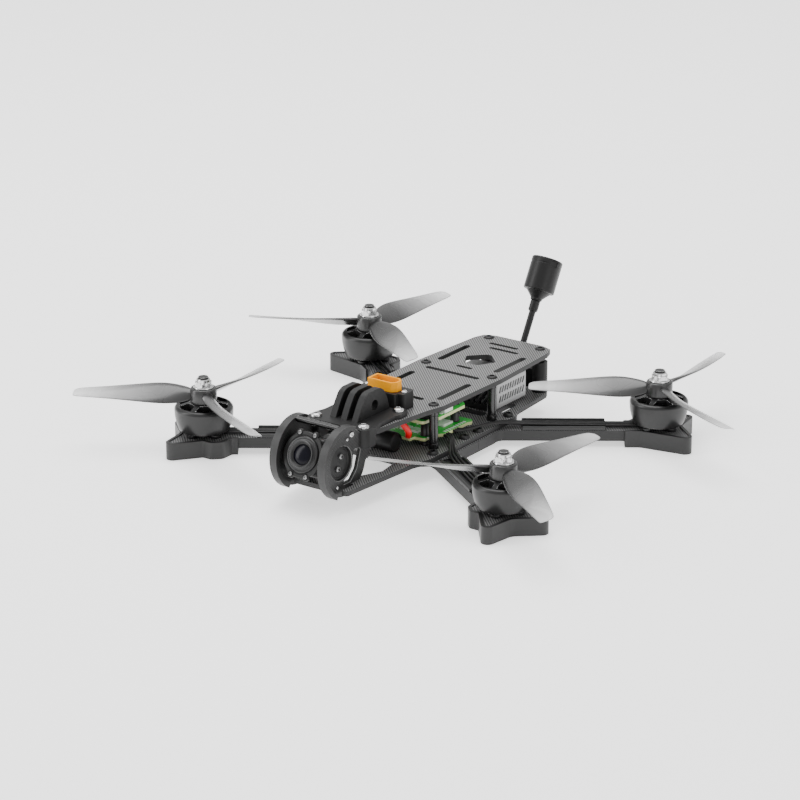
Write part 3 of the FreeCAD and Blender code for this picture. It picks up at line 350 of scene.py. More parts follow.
def block(size, bevel=0.15, segments=2):
    """A box of that size in mm, centred on the origin, with rounded edges."""
    bm = bmesh.new()
    bmesh.ops.create_cube(bm, size=1)
    bmesh.ops.scale(bm, vec=[s * MM for s in size], verts=bm.verts)
    bmesh.ops.bevel(bm, geom=bm.edges, offset=bevel * MM, segments=segments, affect="EDGES", profile=0.5)
    return bm


def stamp(target, source, matrix=None, slot=0):
    """Adds a copy of the source mesh to the target, moved by the matrix, with one material slot."""
    copy = bpy.data.meshes.new("stamp")
    source.to_mesh(copy)
    first_vertex, first_face = len(target.verts), len(target.faces)
    target.from_mesh(copy)
    bpy.data.meshes.remove(copy)
    target.verts.ensure_lookup_table()
    target.faces.ensure_lookup_table()
    if matrix is not None:
        bmesh.ops.transform(target, matrix=matrix, verts=target.verts[first_vertex:])
    for face in target.faces[first_face:]:
        face.material_index = slot
    return target


def show(name, bm, body, materials, replaces=(), at=(0, 0, 0), sharp=35):
    """Turns a mesh into a piece: smooth shading, crisp creases, its materials, its body and its CAD nodes."""
    mesh = bpy.data.meshes.new(name)
    bm.to_mesh(mesh)
    bm.free()
    if "custom_normal" in mesh.attributes:
        mesh.attributes.remove(mesh.attributes["custom_normal"])
    mesh.materials.clear()
    for one in materials:
        mesh.materials.append(one)
    mesh.polygons.foreach_set("use_smooth", [True] * len(mesh.polygons))
    mesh.set_sharp_from_angle(angle=math.radians(sharp))
    piece = bpy.data.objects.new(name, mesh)
    bpy.context.scene.collection.objects.link(piece)
    piece.location = at
    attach(piece, body)
    if replaces:
        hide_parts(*replaces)
    print(f"{name}: {len(mesh.polygons)} faces")
    return piece


def soften(piece, width, segments=2, edge_slot=None, angle=30):
    """Rounds every crease of a piece; the new strip can have a material slot of its own."""
    edge = piece.modifiers.new("edges", "BEVEL")
    edge.width = width * MM
    edge.segments = segments
    edge.limit_method = "ANGLE"
    edge.angle_limit = math.radians(angle)
    edge.harden_normals = False
    if edge_slot is not None:
        edge.material = edge_slot
    for polygon in piece.data.polygons:
        polygon.use_smooth = True
    if "sharp_edge" in piece.data.attributes:
        piece.data.attributes.remove(piece.data.attributes["sharp_edge"])
    normals = piece.modifiers.new("normals", "WEIGHTED_NORMAL")
    normals.keep_sharp = True
    return piece


def recut(node, materials, width=0.25, segments=2, edge_slot=None, cutters=(), angle=30):
    """A CAD node's own shape as a new piece, with flat faces joined up and every edge rounded."""
    bm = bmesh.new()
    bm.from_mesh(frame["nodes"][node].data)
    bmesh.ops.remove_doubles(bm, verts=bm.verts, dist=0.002 * MM)
    bmesh.ops.dissolve_limit(bm, angle_limit=math.radians(0.4), verts=bm.verts, edges=bm.edges)
    for face in bm.faces:
        face.material_index = 0
    body = frame["nodes"][node]["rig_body"]
    piece = show(node + "_piece", bm, body, materials, replaces=[node])
    for cutter in cutters:
        carve(piece, cutter)
    return soften(piece, width, segments, edge_slot, angle)


def carve(piece, cutter):
    """Cuts one mesh out of a piece for good, and throws the cutting mesh away."""
    mesh = bpy.data.meshes.new("cutter")
    cutter.to_mesh(mesh)
    tool = bpy.data.objects.new("cutter", mesh)
    bpy.context.scene.collection.objects.link(tool)
    cut = piece.modifiers.new("cut", "BOOLEAN")
    cut.operation, cut.solver, cut.object = "DIFFERENCE", "EXACT", tool
    bpy.context.view_layer.update()
    result = bpy.data.meshes.new_from_object(piece.evaluated_get(bpy.context.evaluated_depsgraph_get()))
    piece.modifiers.remove(cut)
    old = piece.data
    piece.data = result
    bpy.data.meshes.remove(old)
    bpy.data.objects.remove(tool)
    bpy.data.meshes.remove(mesh)


print("mesh helpers ready")

# %% [markdown]
# ## Plates, arms and trays
# Plates and arms are routed from flat laminate, so their outline is already right in CAD. Recutting them
# gives the edges a hair of rounding. The arms carry their weave on top only; their sides are plain,
# sanded laminate.

# %% Carbon plates and arms
for node_name in ("belly_plate", "main_plate", "top_plate"):
    recut(node_name, [CARBON_FLAT], width=0.18, segments=1)
for node_name in ("camera_plate_left", "camera_plate_right"):
    # the side plates' rounded edges take the light grey, a painted highlight
    recut(node_name, [CARBON_SIDE, EDGE_HIGHLIGHT], width=0.2, segments=1, edge_slot=1)
for corner in CORNERS:
    recut("arm_" + corner, [CARBON_ARM], width=0.3, segments=2)

# %% [markdown]
# The feet, the trays and the soft rims are moulded or printed in rubber. Their edges are far rounder than
# a plate's, and the rounding is what shows that they are soft.

# %% Rubber guards
for corner in CORNERS:
    # the rounded edge strip of each foot takes the darker rubber, a painted shade
    recut("foot_" + corner, [RUBBER, RUBBER_SHADED_EDGE], width=0.3, segments=2, edge_slot=1)
recut("arm_trays", [RUBBER], width=0.35, segments=2)
for node_name in ("camera_rim_left", "camera_rim_right"):
    recut(node_name, [RUBBER, RUBBER_HIGHLIGHT_EDGE], width=0.3, segments=2, edge_slot=1)
for node_name in ("action_camera_mount", "connector_holder", "antenna_mount"):
    recut(node_name, [PRINTED], width=0.45, segments=3)

# %% [markdown]
# ## Screws
# Every screw is the same button head at another place: a dome with a six-sided socket sunk into it. The
# dome is a stack of rings, the socket three more with six flats, and one stamp per screw builds the whole
# set.

# %% Button-head screws


def button_head(radius=2.75, height=1.65, socket=1.05):
    rim = [(radius, 0), (radius, height * 0.3), (radius * 0.93, height * 0.62),
           (radius * 0.74, height * 0.88)]
    top = [(radius * 0.55, height), (socket * 1.12, height, "hex"), (socket, height - 0.1, "hex")]
    floor = [(socket, height * 0.4, "hex"), (0, height * 0.3)]
    return turned([(0, 0)] + rim + top + floor, sides=36)


STANDOFF_AT = [(s * x, y) for x, y in ((19.3, -26.3), (20.0, 23.2), (15.7, 73.4)) for s in (-1, 1)]
ROOT_AT = [(s * 23.5, e * y) for s in (-1, 1) for e in (-1, 1) for y in (6.0, 33.0)]
MOUNT_AT = [(s * 14.0, y) for s in (-1, 1) for y in (-76.6, -48.3)]
DECK_TOP, MAIN_TOP, SLAB_TOP, HOLDER_TOP = 32.5, 10.0, 34.7, 40.9
SOCKET_Y = -39.0
SCREW_REACH, ARM_LOW, CASTING_LOW = 8.0, 2.0, 8.4
head = button_head()
low_head = button_head(height=0.95, socket=1.1)
small_head = button_head(radius=1.5, height=0.9, socket=0.7)
tiny_head = button_head(radius=0.8, height=0.9, socket=0.35)
dark_screws, bright_screws = bmesh.new(), bmesh.new()
for x, y in STANDOFF_AT:
    stamp(dark_screws, low_head, Matrix.Translation(Vector((x, y, DECK_TOP)) * MM))
for x, y in ROOT_AT:
    stamp(dark_screws, head, Matrix.Translation(Vector((x, y, MAIN_TOP)) * MM))
for x, y in MOUNT_AT:
    stamp(bright_screws, head, Matrix.Translation(Vector((x, y, SLAB_TOP)) * MM))
for side in (-1, 1):
    stamp(bright_screws, small_head, Matrix.Translation(Vector((side * 10.8, SOCKET_Y, HOLDER_TOP)) * MM))
    outward = Matrix.Rotation(math.radians(90 * side), 4, "Y")
    for y, z, one in ((-87.9, 34.9, small_head), (-91.6, 33.4, tiny_head), (-99.6, 11.6, tiny_head)):
        stamp(bright_screws, one, Matrix.Translation(Vector((side * 15.0, y, z)) * MM) @ outward)
show("frame_screws_dark", dark_screws, "frame", [BLACK_OXIDE], replaces=["frame_screws"])
show("frame_screws_bright", bright_screws, "frame", [PLATED])

motor_screws = bmesh.new()
screw_tip = turned([(0, -1), (1.4, -1), (1.4, 0.6), (1.1, 0.7), (0, 0.7)], 24)
for corner, (side, end, spin, phase) in CORNERS.items():
    for quarter in range(4):
        turn = side * end * ARM_ANGLE + math.pi / 4 + quarter * math.pi / 2
        across, along = SCREW_REACH * math.cos(turn), SCREW_REACH * math.sin(turn)
        spot = MOTOR_AT[corner] + Vector((across, along, ARM_LOW)) * MM
        stamp(motor_screws, head, Matrix.Translation(spot) @ Matrix.Rotation(math.pi, 4, "X"))
        top = MOTOR_AT[corner] + Vector((across, along, CASTING_LOW)) * MM
        stamp(motor_screws, screw_tip, Matrix.Translation(top))
show("motor_screw_set", motor_screws, "frame", [BLACK_OXIDE], replaces=["motor_screws"])

# %% [markdown]
# ## Standoffs
# The posts between the plates are turned from round bar: a plain waist with a shoulder at each end. The
# waist is a little slimmer than the shoulders, which breaks the highlight that runs down it.

# %% Standoffs
post = turned([(1.5, 10.0), (2.3, 10.0), (2.5, 10.2), (2.5, 12.6), (2.25, 12.9), (2.25, 27.1), (2.5, 27.4),
               (2.5, 29.8), (2.3, 30.0), (1.5, 30.0)], 40)
posts = bmesh.new()
for x, y in STANDOFF_AT:
    stamp(posts, post, Matrix.Translation(Vector((x, y, 0)) * MM))
show("standoff_set", posts, "frame", [POLISHED], replaces=["standoffs"])

# %% [markdown]
# ## Motors
# Each motor has a still half and a turning half. The still half is a casting with four screw feet, and a
# stator: a stack of thin steel sheets with twelve teeth, each tooth wound with copper. The turning half
# is the bell, which goes round the outside. The bell keeps the CAD shape, and its milled windows get a
# bright cut edge: the blank is anodised black first and the chamfer is cut afterwards, through the black.

# %% Stators with windings
TEETH = 12
stator_set = bmesh.new()
core = turned([(4.8, 11.7), (6.6, 11.7), (6.6, 19.3), (4.8, 19.3)], 48, closed=True)
shoe = block((1.0, 5.2, 7.4), 0.2)
wire = turned([(1.75, -1.9), (2.0, -1.6), (1.75, -1.3), (2.0, -1.0), (1.75, -0.7), (2.0, -0.4), (1.75, -0.1),
               (2.0, 0.2), (1.75, 0.5), (2.0, 0.8), (1.75, 1.1), (2.0, 1.4), (1.75, 1.7)], 20)
bmesh.ops.scale(wire, vec=(0.62, 1.75, 1), verts=wire.verts)
for corner in CORNERS:
    centre = Matrix.Translation(MOTOR_AT[corner])
    stamp(stator_set, core, centre)
    for tooth in range(TEETH):
        round_axis = centre @ Matrix.Rotation(2 * math.pi * tooth / TEETH, 4, "Z")
        stamp(stator_set, shoe, round_axis @ Matrix.Translation(Vector((10.9, 0, 15.5)) * MM))
        lie = Matrix.Rotation(math.pi / 2, 4, "Y")
        stamp(stator_set, wire, round_axis @ Matrix.Translation(Vector((8.5, 0, 15.5)) * MM) @ lie, slot=1)
show("stator_set", stator_set, "frame", [LAMINATE, COPPER], replaces=["stators"])
for corner in CORNERS:
    recut("motor_base_" + corner, [ANODISED], width=0.2, segments=2)

# %% Bells
for corner in CORNERS:
    recut("rotor_bell_" + corner, [ANODISED, BRIGHT_CUT], width=0.35, segments=1,
          edge_slot=1, angle=50)

# %% [markdown]
# ## Propellers
# A blade is a wing that twists: steep near the hub, where it moves slowly, and shallow at the tip. Eleven
# sections, each with its own chord, pitch and thickness, say everything about it, and a subdivision
# surface draws the smooth skin between them. The plastic is smoke tinted and lets light through where
# the blade thins. Its colour is painted from near black at the root to pale grey at the tip, a painted
# highlight and painted glow of light let through, and its leading and trailing edges are painted near
# black, a painted shade. A mesh attribute carries the distance along the blade to the material.

# %% Propeller plastic
def smoke_plastic():
    made, tree, shader, place = start_material("smoke_plastic", Coat_Weight=0.3, Coat_Roughness=0.15)
    span = add_node(tree, "Attribute", attribute_name="span").outputs["Fac"]
    rim = add_node(tree, "Attribute", attribute_name="rim").outputs["Fac"]
    # painted highlight and glow: the colour rises from near black at the root to pale grey at the tip
    along = add_node(tree, "ValToRGB", {0: span})
    painted_light_ramp = along.color_ramp
    painted_light_ramp.elements[0].position, painted_light_ramp.elements[0].color = 0.1, grey(0.012)
    painted_light_ramp.elements[1].position, painted_light_ramp.elements[1].color = 1.0, grey(0.75)
    painted_light_ramp.elements.new(0.35).color = grey(0.045)
    painted_light_ramp.elements.new(0.65).color = grey(0.24)
    mottle = add_node(tree, "TexNoise", {"Vector": place, "Scale": 1 / (14 * MM), "Detail": 1}).outputs["Fac"]
    tone = sum_of(tree, "MULTIPLY_ADD", mottle, 0.1, 0.95)
    body = add_node(tree, "VectorMath", {0: along.outputs[0], 1: tone}, operation="MULTIPLY").outputs[0]
    # painted shade: the leading and trailing edges are blended to near black
    tree.links.new(blend_colours(tree, rim, body, grey(0.01)), shader.inputs["Base Color"])
    clear = add_node(tree, "MapRange", {0: span, 1: 0.25, 2: 1.0, 3: 1.0, 4: 0.62}).outputs[0]
    solid = sum_of(tree, "MAXIMUM", clear, rim)
    tree.links.new(solid, shader.inputs["Alpha"])
    tree.links.new(sum_of(tree, "MULTIPLY_ADD", mottle, 0.1, 0.22), shader.inputs["Roughness"])
    return made


SMOKE = smoke_plastic()

# %% Propeller blades and hubs
# station: radius, chord, pitch in degrees, thickness, sweep of the middle of the chord, all in mm
STATIONS = [
    (4.6, 7.0, 38, 3.0, 0.0), (10, 10.6, 36, 2.3, 0.5), (18, 14.2, 32, 1.8, 1.2),
    (26, 14.5, 27.5, 1.5, 1.2), (36, 13.1, 22, 1.3, 0.6), (46, 11.3, 17.5, 1.1, -0.1),
    (55, 9.8, 14.5, 1.0, -0.8), (61, 8.6, 13, 0.9, -1.3), (63.8, 7.4, 12.5, 0.8, -1.7),
    (64.6, 5.4, 12, 0.7, -2.4), (64.8, 5.0, 12, 0.7, -2.6)]
BLADE_LEVEL, HUB_LOW, HUB_HIGH = 27.4, 24.15, 31.6
SECTION_POINTS = 12


def blade(spin):
    """One blade along +X; spin says which of its two long edges leads."""
    bm = bmesh.new()
    span_layer = bm.verts.layers.float.new("span")
    rim_layer = bm.verts.layers.float.new("rim")
    loops = []
    for radius, chord, pitch, thick, sweep in STATIONS:
        tilt = math.radians(pitch)
        loop = []
        for k in range(SECTION_POINTS):
            angle = 2 * math.pi * k / SECTION_POINTS
            across = math.cos(angle)
            t = across * chord / 2
            z = 0.55 * thick * math.sin(angle) + 0.4 * thick * (1 - across * across)
            forward = t * math.cos(tilt) - z * math.sin(tilt) + sweep
            up = t * math.sin(tilt) + z * math.cos(tilt)
            vertex = bm.verts.new(Vector((radius, spin * forward, up + BLADE_LEVEL)) * MM)
            vertex[span_layer] = radius / STATIONS[-1][0]
            # rim marks the leading and trailing edges, which the material paints near black and opaque
            vertex[rim_layer] = abs(across) ** 16
            loop.append(vertex)
        loops.append(loop)
    for low, high in zip(loops, loops[1:]):
        for k in range(SECTION_POINTS):
            j = (k + 1) % SECTION_POINTS
            bm.faces.new((low[k], low[j], high[j], high[k]))
    bm.faces.new(loops[0])
    bm.faces.new(loops[-1])
    bmesh.ops.recalc_face_normals(bm, faces=bm.faces)
    return bm


for corner, (side, end, spin, phase) in CORNERS.items():
    body = "rotor_" + corner
    blades = bmesh.new()
    for k in range(3):
        stamp(blades, blade(spin), Matrix.Rotation(math.radians(phase + 120 * k), 4, "Z"))
    piece = show(f"blades_{corner}", blades, body, [SMOKE], replaces=["propeller_" + corner],
                 at=MOTOR_AT[corner], sharp=80)
    smooth = piece.modifiers.new("skin", "SUBSURF")
    smooth.levels = smooth.render_levels = 2
    hub = turned([(2.5, HUB_LOW), (6.2, HUB_LOW), (6.6, HUB_LOW + 0.4), (6.6, HUB_HIGH - 0.7),
                  (6.3, HUB_HIGH - 0.2), (5.9, HUB_HIGH), (5.2, HUB_HIGH), (5.0, HUB_HIGH - 0.3),
                  (4.9, HUB_HIGH - 0.5), (2.5, HUB_HIGH - 0.5)], 64, closed=True)
    show(f"prop_hub_{corner}", hub, body, [HUB_SMOKE], at=MOTOR_AT[corner])

# %% [markdown]
# ## Lock nuts
# A flanged lock nut holds each propeller. Its rings change shape on the way up: a round flange, six flats
# with chamfered corners, then the round collar that hides the locking insert.

# %% Propeller nuts
for corner in CORNERS:
    nut = turned([(2.5, 31.6), (4.9, 31.6), (5.0, 31.9), (4.8, 32.4), (4.3, 32.6), (3.9, 32.65, "hex"),
                  (3.9, 34.5, "hex"), (4.0, 34.8), (3.5, 34.9), (3.45, 35.9), (3.1, 36.3), (2.7, 36.3),
                  (2.5, 36.0)], 48, closed=True)
    show(f"nut_{corner}", nut, "rotor_" + corner, [PLATED], replaces=["prop_nut_" + corner],
         at=MOTOR_AT[corner])

# %% [markdown]
# ## The nose camera
# The camera hangs between the side plates and tilts. It is built looking along -Y, level, about its own
# pivot, and then one matrix tilts every piece of it. The lens is the face of the machine, so it gets the
# most rings: a flange with four screw ears, a barrel, and three steps down to a domed glass.

# %% Camera on its pivot
PIVOT = Vector((0, -95.8, 22.6)) * MM
CAMERA_TILT = math.radians(23)
TILTED = Matrix.Translation(PIVOT) @ Matrix.Rotation(-CAMERA_TILT, 4, "X")
FORWARD = TILTED @ Matrix.Rotation(math.pi / 2, 4, "X")

EARS = [(x, y) for x in (-4.4, 4.4) for y in (-10.0, 10.0)]
case = bmesh.new()
stamp(case, block((19.2, 18.1, 18.4), 1.6, 4), TILTED @ Matrix.Translation(Vector((0, -0.55, 0)) * MM))
flange = turned([(8.4, 9.0), (10.9, 9.6), (11.2, 9.9), (11.2, 10.7), (10.9, 11.0), (9.5, 11.0), (9.3, 10.8),
                 (9.1, 10.8), (9.0, 10.6), (8.4, 10.6)], 96, closed=True)
stamp(case, flange, FORWARD)
ear_disc = turned([(0, 9.6), (1.8, 9.6), (1.9, 9.9), (1.9, 10.8), (1.7, 11.0), (0, 11.0)], 24)
for x, y in EARS:
    ear = Matrix.Translation(Vector((x, y, 0)) * MM)
    stamp(case, ear_disc, FORWARD @ ear)
show("camera_case", case, "camera", [CASE_BLACK], replaces=["camera_housing"])

barrel = turned([(8.6, 9.9), (8.8, 10.7), (8.7, 11.3), (8.4, 11.6), (7.9, 11.65), (7.7, 11.5), (7.5, 11.5),
                 (7.3, 11.7), (6.7, 11.8), (6.5, 11.9), (6.5, 12.4), (6.3, 12.6), (5.8, 12.6), (5.6, 12.4),
                 (5.4, 11.9), (5.2, 11.8), (5.0, 11.5), (4.9, 11.0), (4.6, 10.6), (4.2, 10.4), (0, 10.2)], 96)
lens = bmesh.new()
stamp(lens, barrel, FORWARD)
show("lens_barrel", lens, "camera", [RING_BLACK], replaces=["camera_lens"])
dome = turned([(4.8, 11.05), (4.8, 11.4), (4.2, 11.7), (3.4, 11.95), (2.6, 12.1), (1.3, 12.25), (0, 12.3)],
              64)
glass = bmesh.new()
stamp(glass, dome, FORWARD)
show("lens_dome", glass, "camera", [GLASS], replaces=["lens_glass"])

brackets, camera_screws = bmesh.new(), bmesh.new()
for side in (-1, 1):
    out = TILTED @ Matrix.Rotation(math.radians(90 * side), 4, "Y")
    disc = turned([(0, 9.6), (5.5, 9.6), (5.5, 10.6), (8.7, 10.6, "teeth"), (8.7, 12.4, "teeth"), (8.6, 12.7),
                   (8.3, 12.7), (8.3, 13.5), (8.0, 13.8), (7.3, 13.8), (7.0, 13.4), (0, 13.4)], 96)
    stamp(brackets, disc, out)
    for z in (-3.1, 3.1):
        place = out @ Matrix.Translation(Vector((-side * z, 0, 13.4)) * MM)
        stamp(camera_screws, button_head(1.5, 1.3, 0.7), place)
for x, y in EARS:
    ear = Matrix.Translation(Vector((x, y, 11.0)) * MM)
    stamp(camera_screws, button_head(1.1, 0.7, 0.5), FORWARD @ ear, slot=1)
show("tilt_brackets", brackets, "camera", [CASE_BLACK], replaces=["camera_brackets"])
show("camera_screw_set", camera_screws, "camera", [DULL_STEEL, BLACK_OXIDE],
     replaces=["camera_screws"])
bar = turned([(0, -13), (1.2, -13), (1.5, -12.7), (1.5, 12.7), (1.2, 13), (0, 13)], 40)
cage_bar = bmesh.new()
stamp(cage_bar, bar, Matrix.Translation(Vector((0, -94.0, 38.9)) * MM) @ Matrix.Rotation(math.pi / 2, 4, "Y"))
show("cage_bar", cage_bar, "frame", [POLISHED], replaces=["cage_cross_bar"])

# %% [markdown]
# ## Battery connector
# The amber shell is the one strong colour on the machine. Two gold bullets stand in its well; each is
# split by a cross, so that it can spring against the plug.

# %% Connector and contacts
recut("power_connector", [AMBER], width=0.3, segments=3)
CONTACT_X = 3.6
contacts = bmesh.new()
bullet = turned([(0, 35.8), (1.75, 35.8), (1.75, 43.3), (1.5, 44.1), (1.1, 44.3), (1.0, 43.4), (0, 43.2)], 32)
for x in (-CONTACT_X, CONTACT_X):
    stamp(contacts, bullet, Matrix.Translation(Vector((x, SOCKET_Y, 0)) * MM))
contact_piece = show("contact_bullets", contacts, "frame", [GOLD],
                     replaces=["power_contacts"])
for angle in (0, math.pi / 2):
    slit = bmesh.new()
    for x in (-CONTACT_X, CONTACT_X):
        at_tip = Matrix.Translation(Vector((x, SOCKET_Y, 43.2)) * MM)
        diagonal = Matrix.Rotation(angle + math.pi / 4, 4, "Z")
        stamp(slit, block((4.2, 0.35, 4), 0.02, 1), at_tip @ diagonal)
    carve(contact_piece, slit)

# %% [markdown]
# ## Circuit boards
# A board is a green sheet with a pale cut edge, copper pads under the lacquer and a crowd of small parts.
# The sheet's colour is worked out from the direction of each face; the crowd is a seeded random scatter,
# so that it is the same on every run, kept off the four mounting posts.

# %% Board lacquer
def board_lacquer():
    made, tree, shader, place = start_material("board_lacquer", Coat_Weight=0.4, Coat_Roughness=0.2)
    tracks = add_node(tree, "TexBrick", {"Vector": place, "Scale": 1 / (1.6 * MM), "Mortar Size": 0.05,
                                          "Color1": (0.008, 0.34, 0.02, 1), "Color2": (0.01, 0.42, 0.03, 1),
                                          "Mortar": (0.015, 0.55, 0.04, 1)}).outputs["Color"]
    up = add_node(tree, "SeparateXYZ", {0: add_node(tree, "TexCoord").outputs["Normal"]}).outputs[2]
    flat = sum_of(tree, "GREATER_THAN", sum_of(tree, "ABSOLUTE", up), 0.7)
    tree.links.new(blend_colours(tree, flat, (0.55, 0.6, 0.3, 1), tracks), shader.inputs["Base Color"])
    speck = add_node(tree, "TexNoise", {"Vector": place, "Scale": 1 / (0.4 * MM)}).outputs["Fac"]
    tree.links.new(sum_of(tree, "MULTIPLY_ADD", speck, 0.2, 0.3), shader.inputs["Roughness"])
    raised = add_node(tree, "Bump", {"Height": tracks, "Strength": 0.3, "Distance": 0.03 * MM})
    tree.links.new(raised.outputs[0], shader.inputs["Normal"])
    return made


LACQUER = board_lacquer()
for node_name in ("speed_controller", "flight_controller"):
    recut(node_name, [LACQUER], width=0.12, segments=1)

# %% Parts on the boards
ESC_TOP, FLIGHT_TOP, STACK_Y, POST = 14.7, 23.7, -11.5, 12.75
scatter = random.Random(5)
parts = bmesh.new()
chip_spots = [((0, -9, FLIGHT_TOP + 0.6), (10, 10, 1.2)), ((11, -6, ESC_TOP + 0.55), (6, 8, 1.1)),
              ((-11, -6, ESC_TOP + 0.55), (6, 8, 1.1)), ((-6, -22, ESC_TOP + 0.55), (5, 5, 1.1)),
              ((6, -22, ESC_TOP + 0.55), (5, 5, 1.1)), ((0, -22, ESC_TOP + 0.55), (5, 5, 1.1))]
for centre, size in chip_spots:
    stamp(parts, block(size, 0.12), Matrix.Translation(Vector(centre) * MM), slot=1)
plug_spots = [((7.4, 2.5, FLIGHT_TOP + 1.5), (4.8, 4.6, 3)), ((0, -27, FLIGHT_TOP + 1.5), (8, 4, 3)),
              ((15.5, -10.5, FLIGHT_TOP + 1.5), (4, 7, 3))]
for centre, size in plug_spots:
    stamp(parts, block(size, 0.25), Matrix.Translation(Vector(centre) * MM))
for top, half_x, y_low, y_high in ((ESC_TOP, 17.5, -27, 5), (FLIGHT_TOP, 16.5, -19, 2)):
    for _ in range(36):
        x, y = scatter.uniform(-half_x, half_x), scatter.uniform(y_low, y_high)
        near_post = abs(abs(x) - POST) < 3.4 and abs(abs(y - STACK_Y) - POST) < 3.4
        on_chip = any(abs(x - c[0]) < s[0] / 2 + 0.8 and abs(y - c[1]) < s[1] / 2 + 0.8
                      for c, s in chip_spots + plug_spots if abs(c[2] - top) < 3)
        if near_post or on_chip:
            continue
        long_way = scatter.choice((0, math.pi / 2))
        spot = Matrix.Translation(Vector((x, y, top + 0.25)) * MM) @ Matrix.Rotation(long_way, 4, "Z")
        stamp(parts, block((1.0, 0.55, 0.5), 0.06, 1), spot, slot=scatter.choice((1, 1, 2)))
for k in range(9):
    for side in (-1, 1):
        pad = Matrix.Translation(Vector((side * 17.7, -14.5 + 2.1 * k, ESC_TOP + 0.12)) * MM)
        stamp(parts, block((1.6, 1.2, 0.24), 0.1), pad, slot=2)
show("board_crowd", parts, "frame", [WHITE_PART, CHIP, TIN], replaces=["board_parts"])

# %% [markdown]
# Soft rings and nylon nuts hold the boards on their posts. A ring bulges where it is squeezed.

# %% Stack posts and capacitor
stack = bmesh.new()
for sx in (-1, 1):
    for sy in (-1, 1):
        at = Matrix.Translation(Vector((sx * POST, STACK_Y + sy * POST, 0)) * MM)
        gummy = [(1.5, 10.0), (2.2, 10.0), (2.5, 10.6), (2.2, 11.4), (2.2, 11.8), (2.5, 12.5), (2.2, 13.1),
                 (1.5, 13.1)]
        sleeve = [(1.5, 14.7), (2.4, 14.7), (2.5, 15.2), (2.1, 16.0), (2.1, 20.8), (2.5, 21.6), (2.4, 22.1),
                  (1.5, 22.1)]
        nylon = [(1.4, 23.7), (2.45, 23.7, "hex"), (2.45, 25.6, "hex"), (2.0, 26.1), (1.4, 26.1)]
        stamp(stack, turned(gummy, 32), at)
        stamp(stack, turned(sleeve, 32), at)
        stamp(stack, turned(nylon, 36), at)
        stamp(stack, turned([(0, 7.6), (1.5, 7.6), (1.5, 26.3), (1.2, 26.7), (0, 26.7)], 24), at, slot=1)
show("stack_post_set", stack, "frame", [SLEEVE, BLACK_OXIDE], replaces=["stack_posts"])

can = turned([(0, 0.5), (3.6, 0.3), (4.4, 0), (4.9, 0.5), (5.0, 1.4), (4.75, 1.9), (5.0, 2.4), (5.0, 15.2),
              (4.7, 15.8), (4.2, 16), (4.0, 15.7), (0, 15.7)], 48)
capacitor = bmesh.new()
on_side = Matrix.Rotation(math.pi / 2, 4, "Y")
stamp(capacitor, can, Matrix.Translation(Vector((-8, -41.5, 15.0)) * MM) @ on_side)
show("capacitor_can", capacitor, "frame", [CASE_BLACK], replaces=["capacitor"])

# %% [markdown]
# ## Leads
# A silicone lead is a curve with a round section. A NURBS curve pulls the corners of a given route
# into the easy bends that soft wire takes. Twelve thin leads run in the trays, and two thick ones feed
# the connector.

# %% Power leads and motor leads


def lead(name, route, radius, body, material, replaces=()):
    curve = bpy.data.curves.new(name, "CURVE")
    curve.dimensions = "3D"
    curve.bevel_depth = radius * MM
    curve.bevel_resolution = 5
    curve.resolution_u = 10
    curve.use_fill_caps = True
    for points in route:
        spline = curve.splines.new("NURBS")
        spline.points.add(len(points) - 1)
        for point, place in zip(spline.points, points):
            point.co = (*(Vector(place) * MM), 1)
        spline.order_u = 3
        spline.use_endpoint_u = True
    curve.materials.append(material)
    piece = bpy.data.objects.new(name, curve)
    bpy.context.scene.collection.objects.link(piece)
    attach(piece, body)
    if replaces:
        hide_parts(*replaces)
    print(f"{name}: {len(route)} runs")
    return piece


RED_ROUTE = [(CONTACT_X, SOCKET_Y, 35.8), (CONTACT_X, SOCKET_Y, 30.5), (10.0, -40.5, 26.0),
             (13.8, -38.5, 20.5), (10.0, -35.0, 16.25), (7.2, -30.6, 16.25)]
BLACK_ROUTE = [(-x, y, z) for x, y, z in RED_ROUTE]
THICK_LEAD, THIN_LEAD = 1.5, 0.7
lead("power_lead_red_curve", [RED_ROUTE], THICK_LEAD, "frame", SILICONE_RED,
     ["power_lead_red"])
lead("power_lead_black_curve", [BLACK_ROUTE], THICK_LEAD, "frame", SILICONE_BLACK,
     ["power_lead_black"])


def on_arm(corner, along, across):
    """Plan position in mm of a spot along the arm outwards from the motor and across it."""
    side, end = CORNERS[corner][:2]
    out = Vector((side * math.cos(ARM_ANGLE), end * math.sin(ARM_ANGLE), 0))
    inner = Vector((side * math.sin(ARM_ANGLE), -end * math.cos(ARM_ANGLE), 0))
    return MOTOR_AT[corner] / MM + out * along + inner * across


LEAD_LEVEL, LEAD_PITCH, ESC_LOW = 8.65, 2.2, 13.1
motor_routes = []
for corner, (side, end, spin, phase) in CORNERS.items():
    for k in (-1, 0, 1):
        start, root = on_arm(corner, -6.6, k * LEAD_PITCH), on_arm(corner, -66, k * LEAD_PITCH)
        board_y = STACK_Y + end * 4.0 + k * 1.7
        motor_routes.append([
            (start.x, start.y, LEAD_LEVEL), (root.x, root.y, LEAD_LEVEL),
            (side * 26.0, end * 20.5 - k * end * 1.2, 11.6), (side * 22.6, board_y, ESC_LOW + 0.8),
            (side * 19.3, board_y, ESC_LOW + 0.8)])
lead("motor_lead_set", motor_routes, THIN_LEAD, "frame", SILICONE_BLACK, ["motor_leads"])

# %% [markdown]
# ## Video transmitter
# A grey alloy box with two rows of slanted slots down each side, so that air reaches the board inside.
# The slots are cut through a thin wall with one boolean: slanted bars in two rows are subtracted all at
# once.

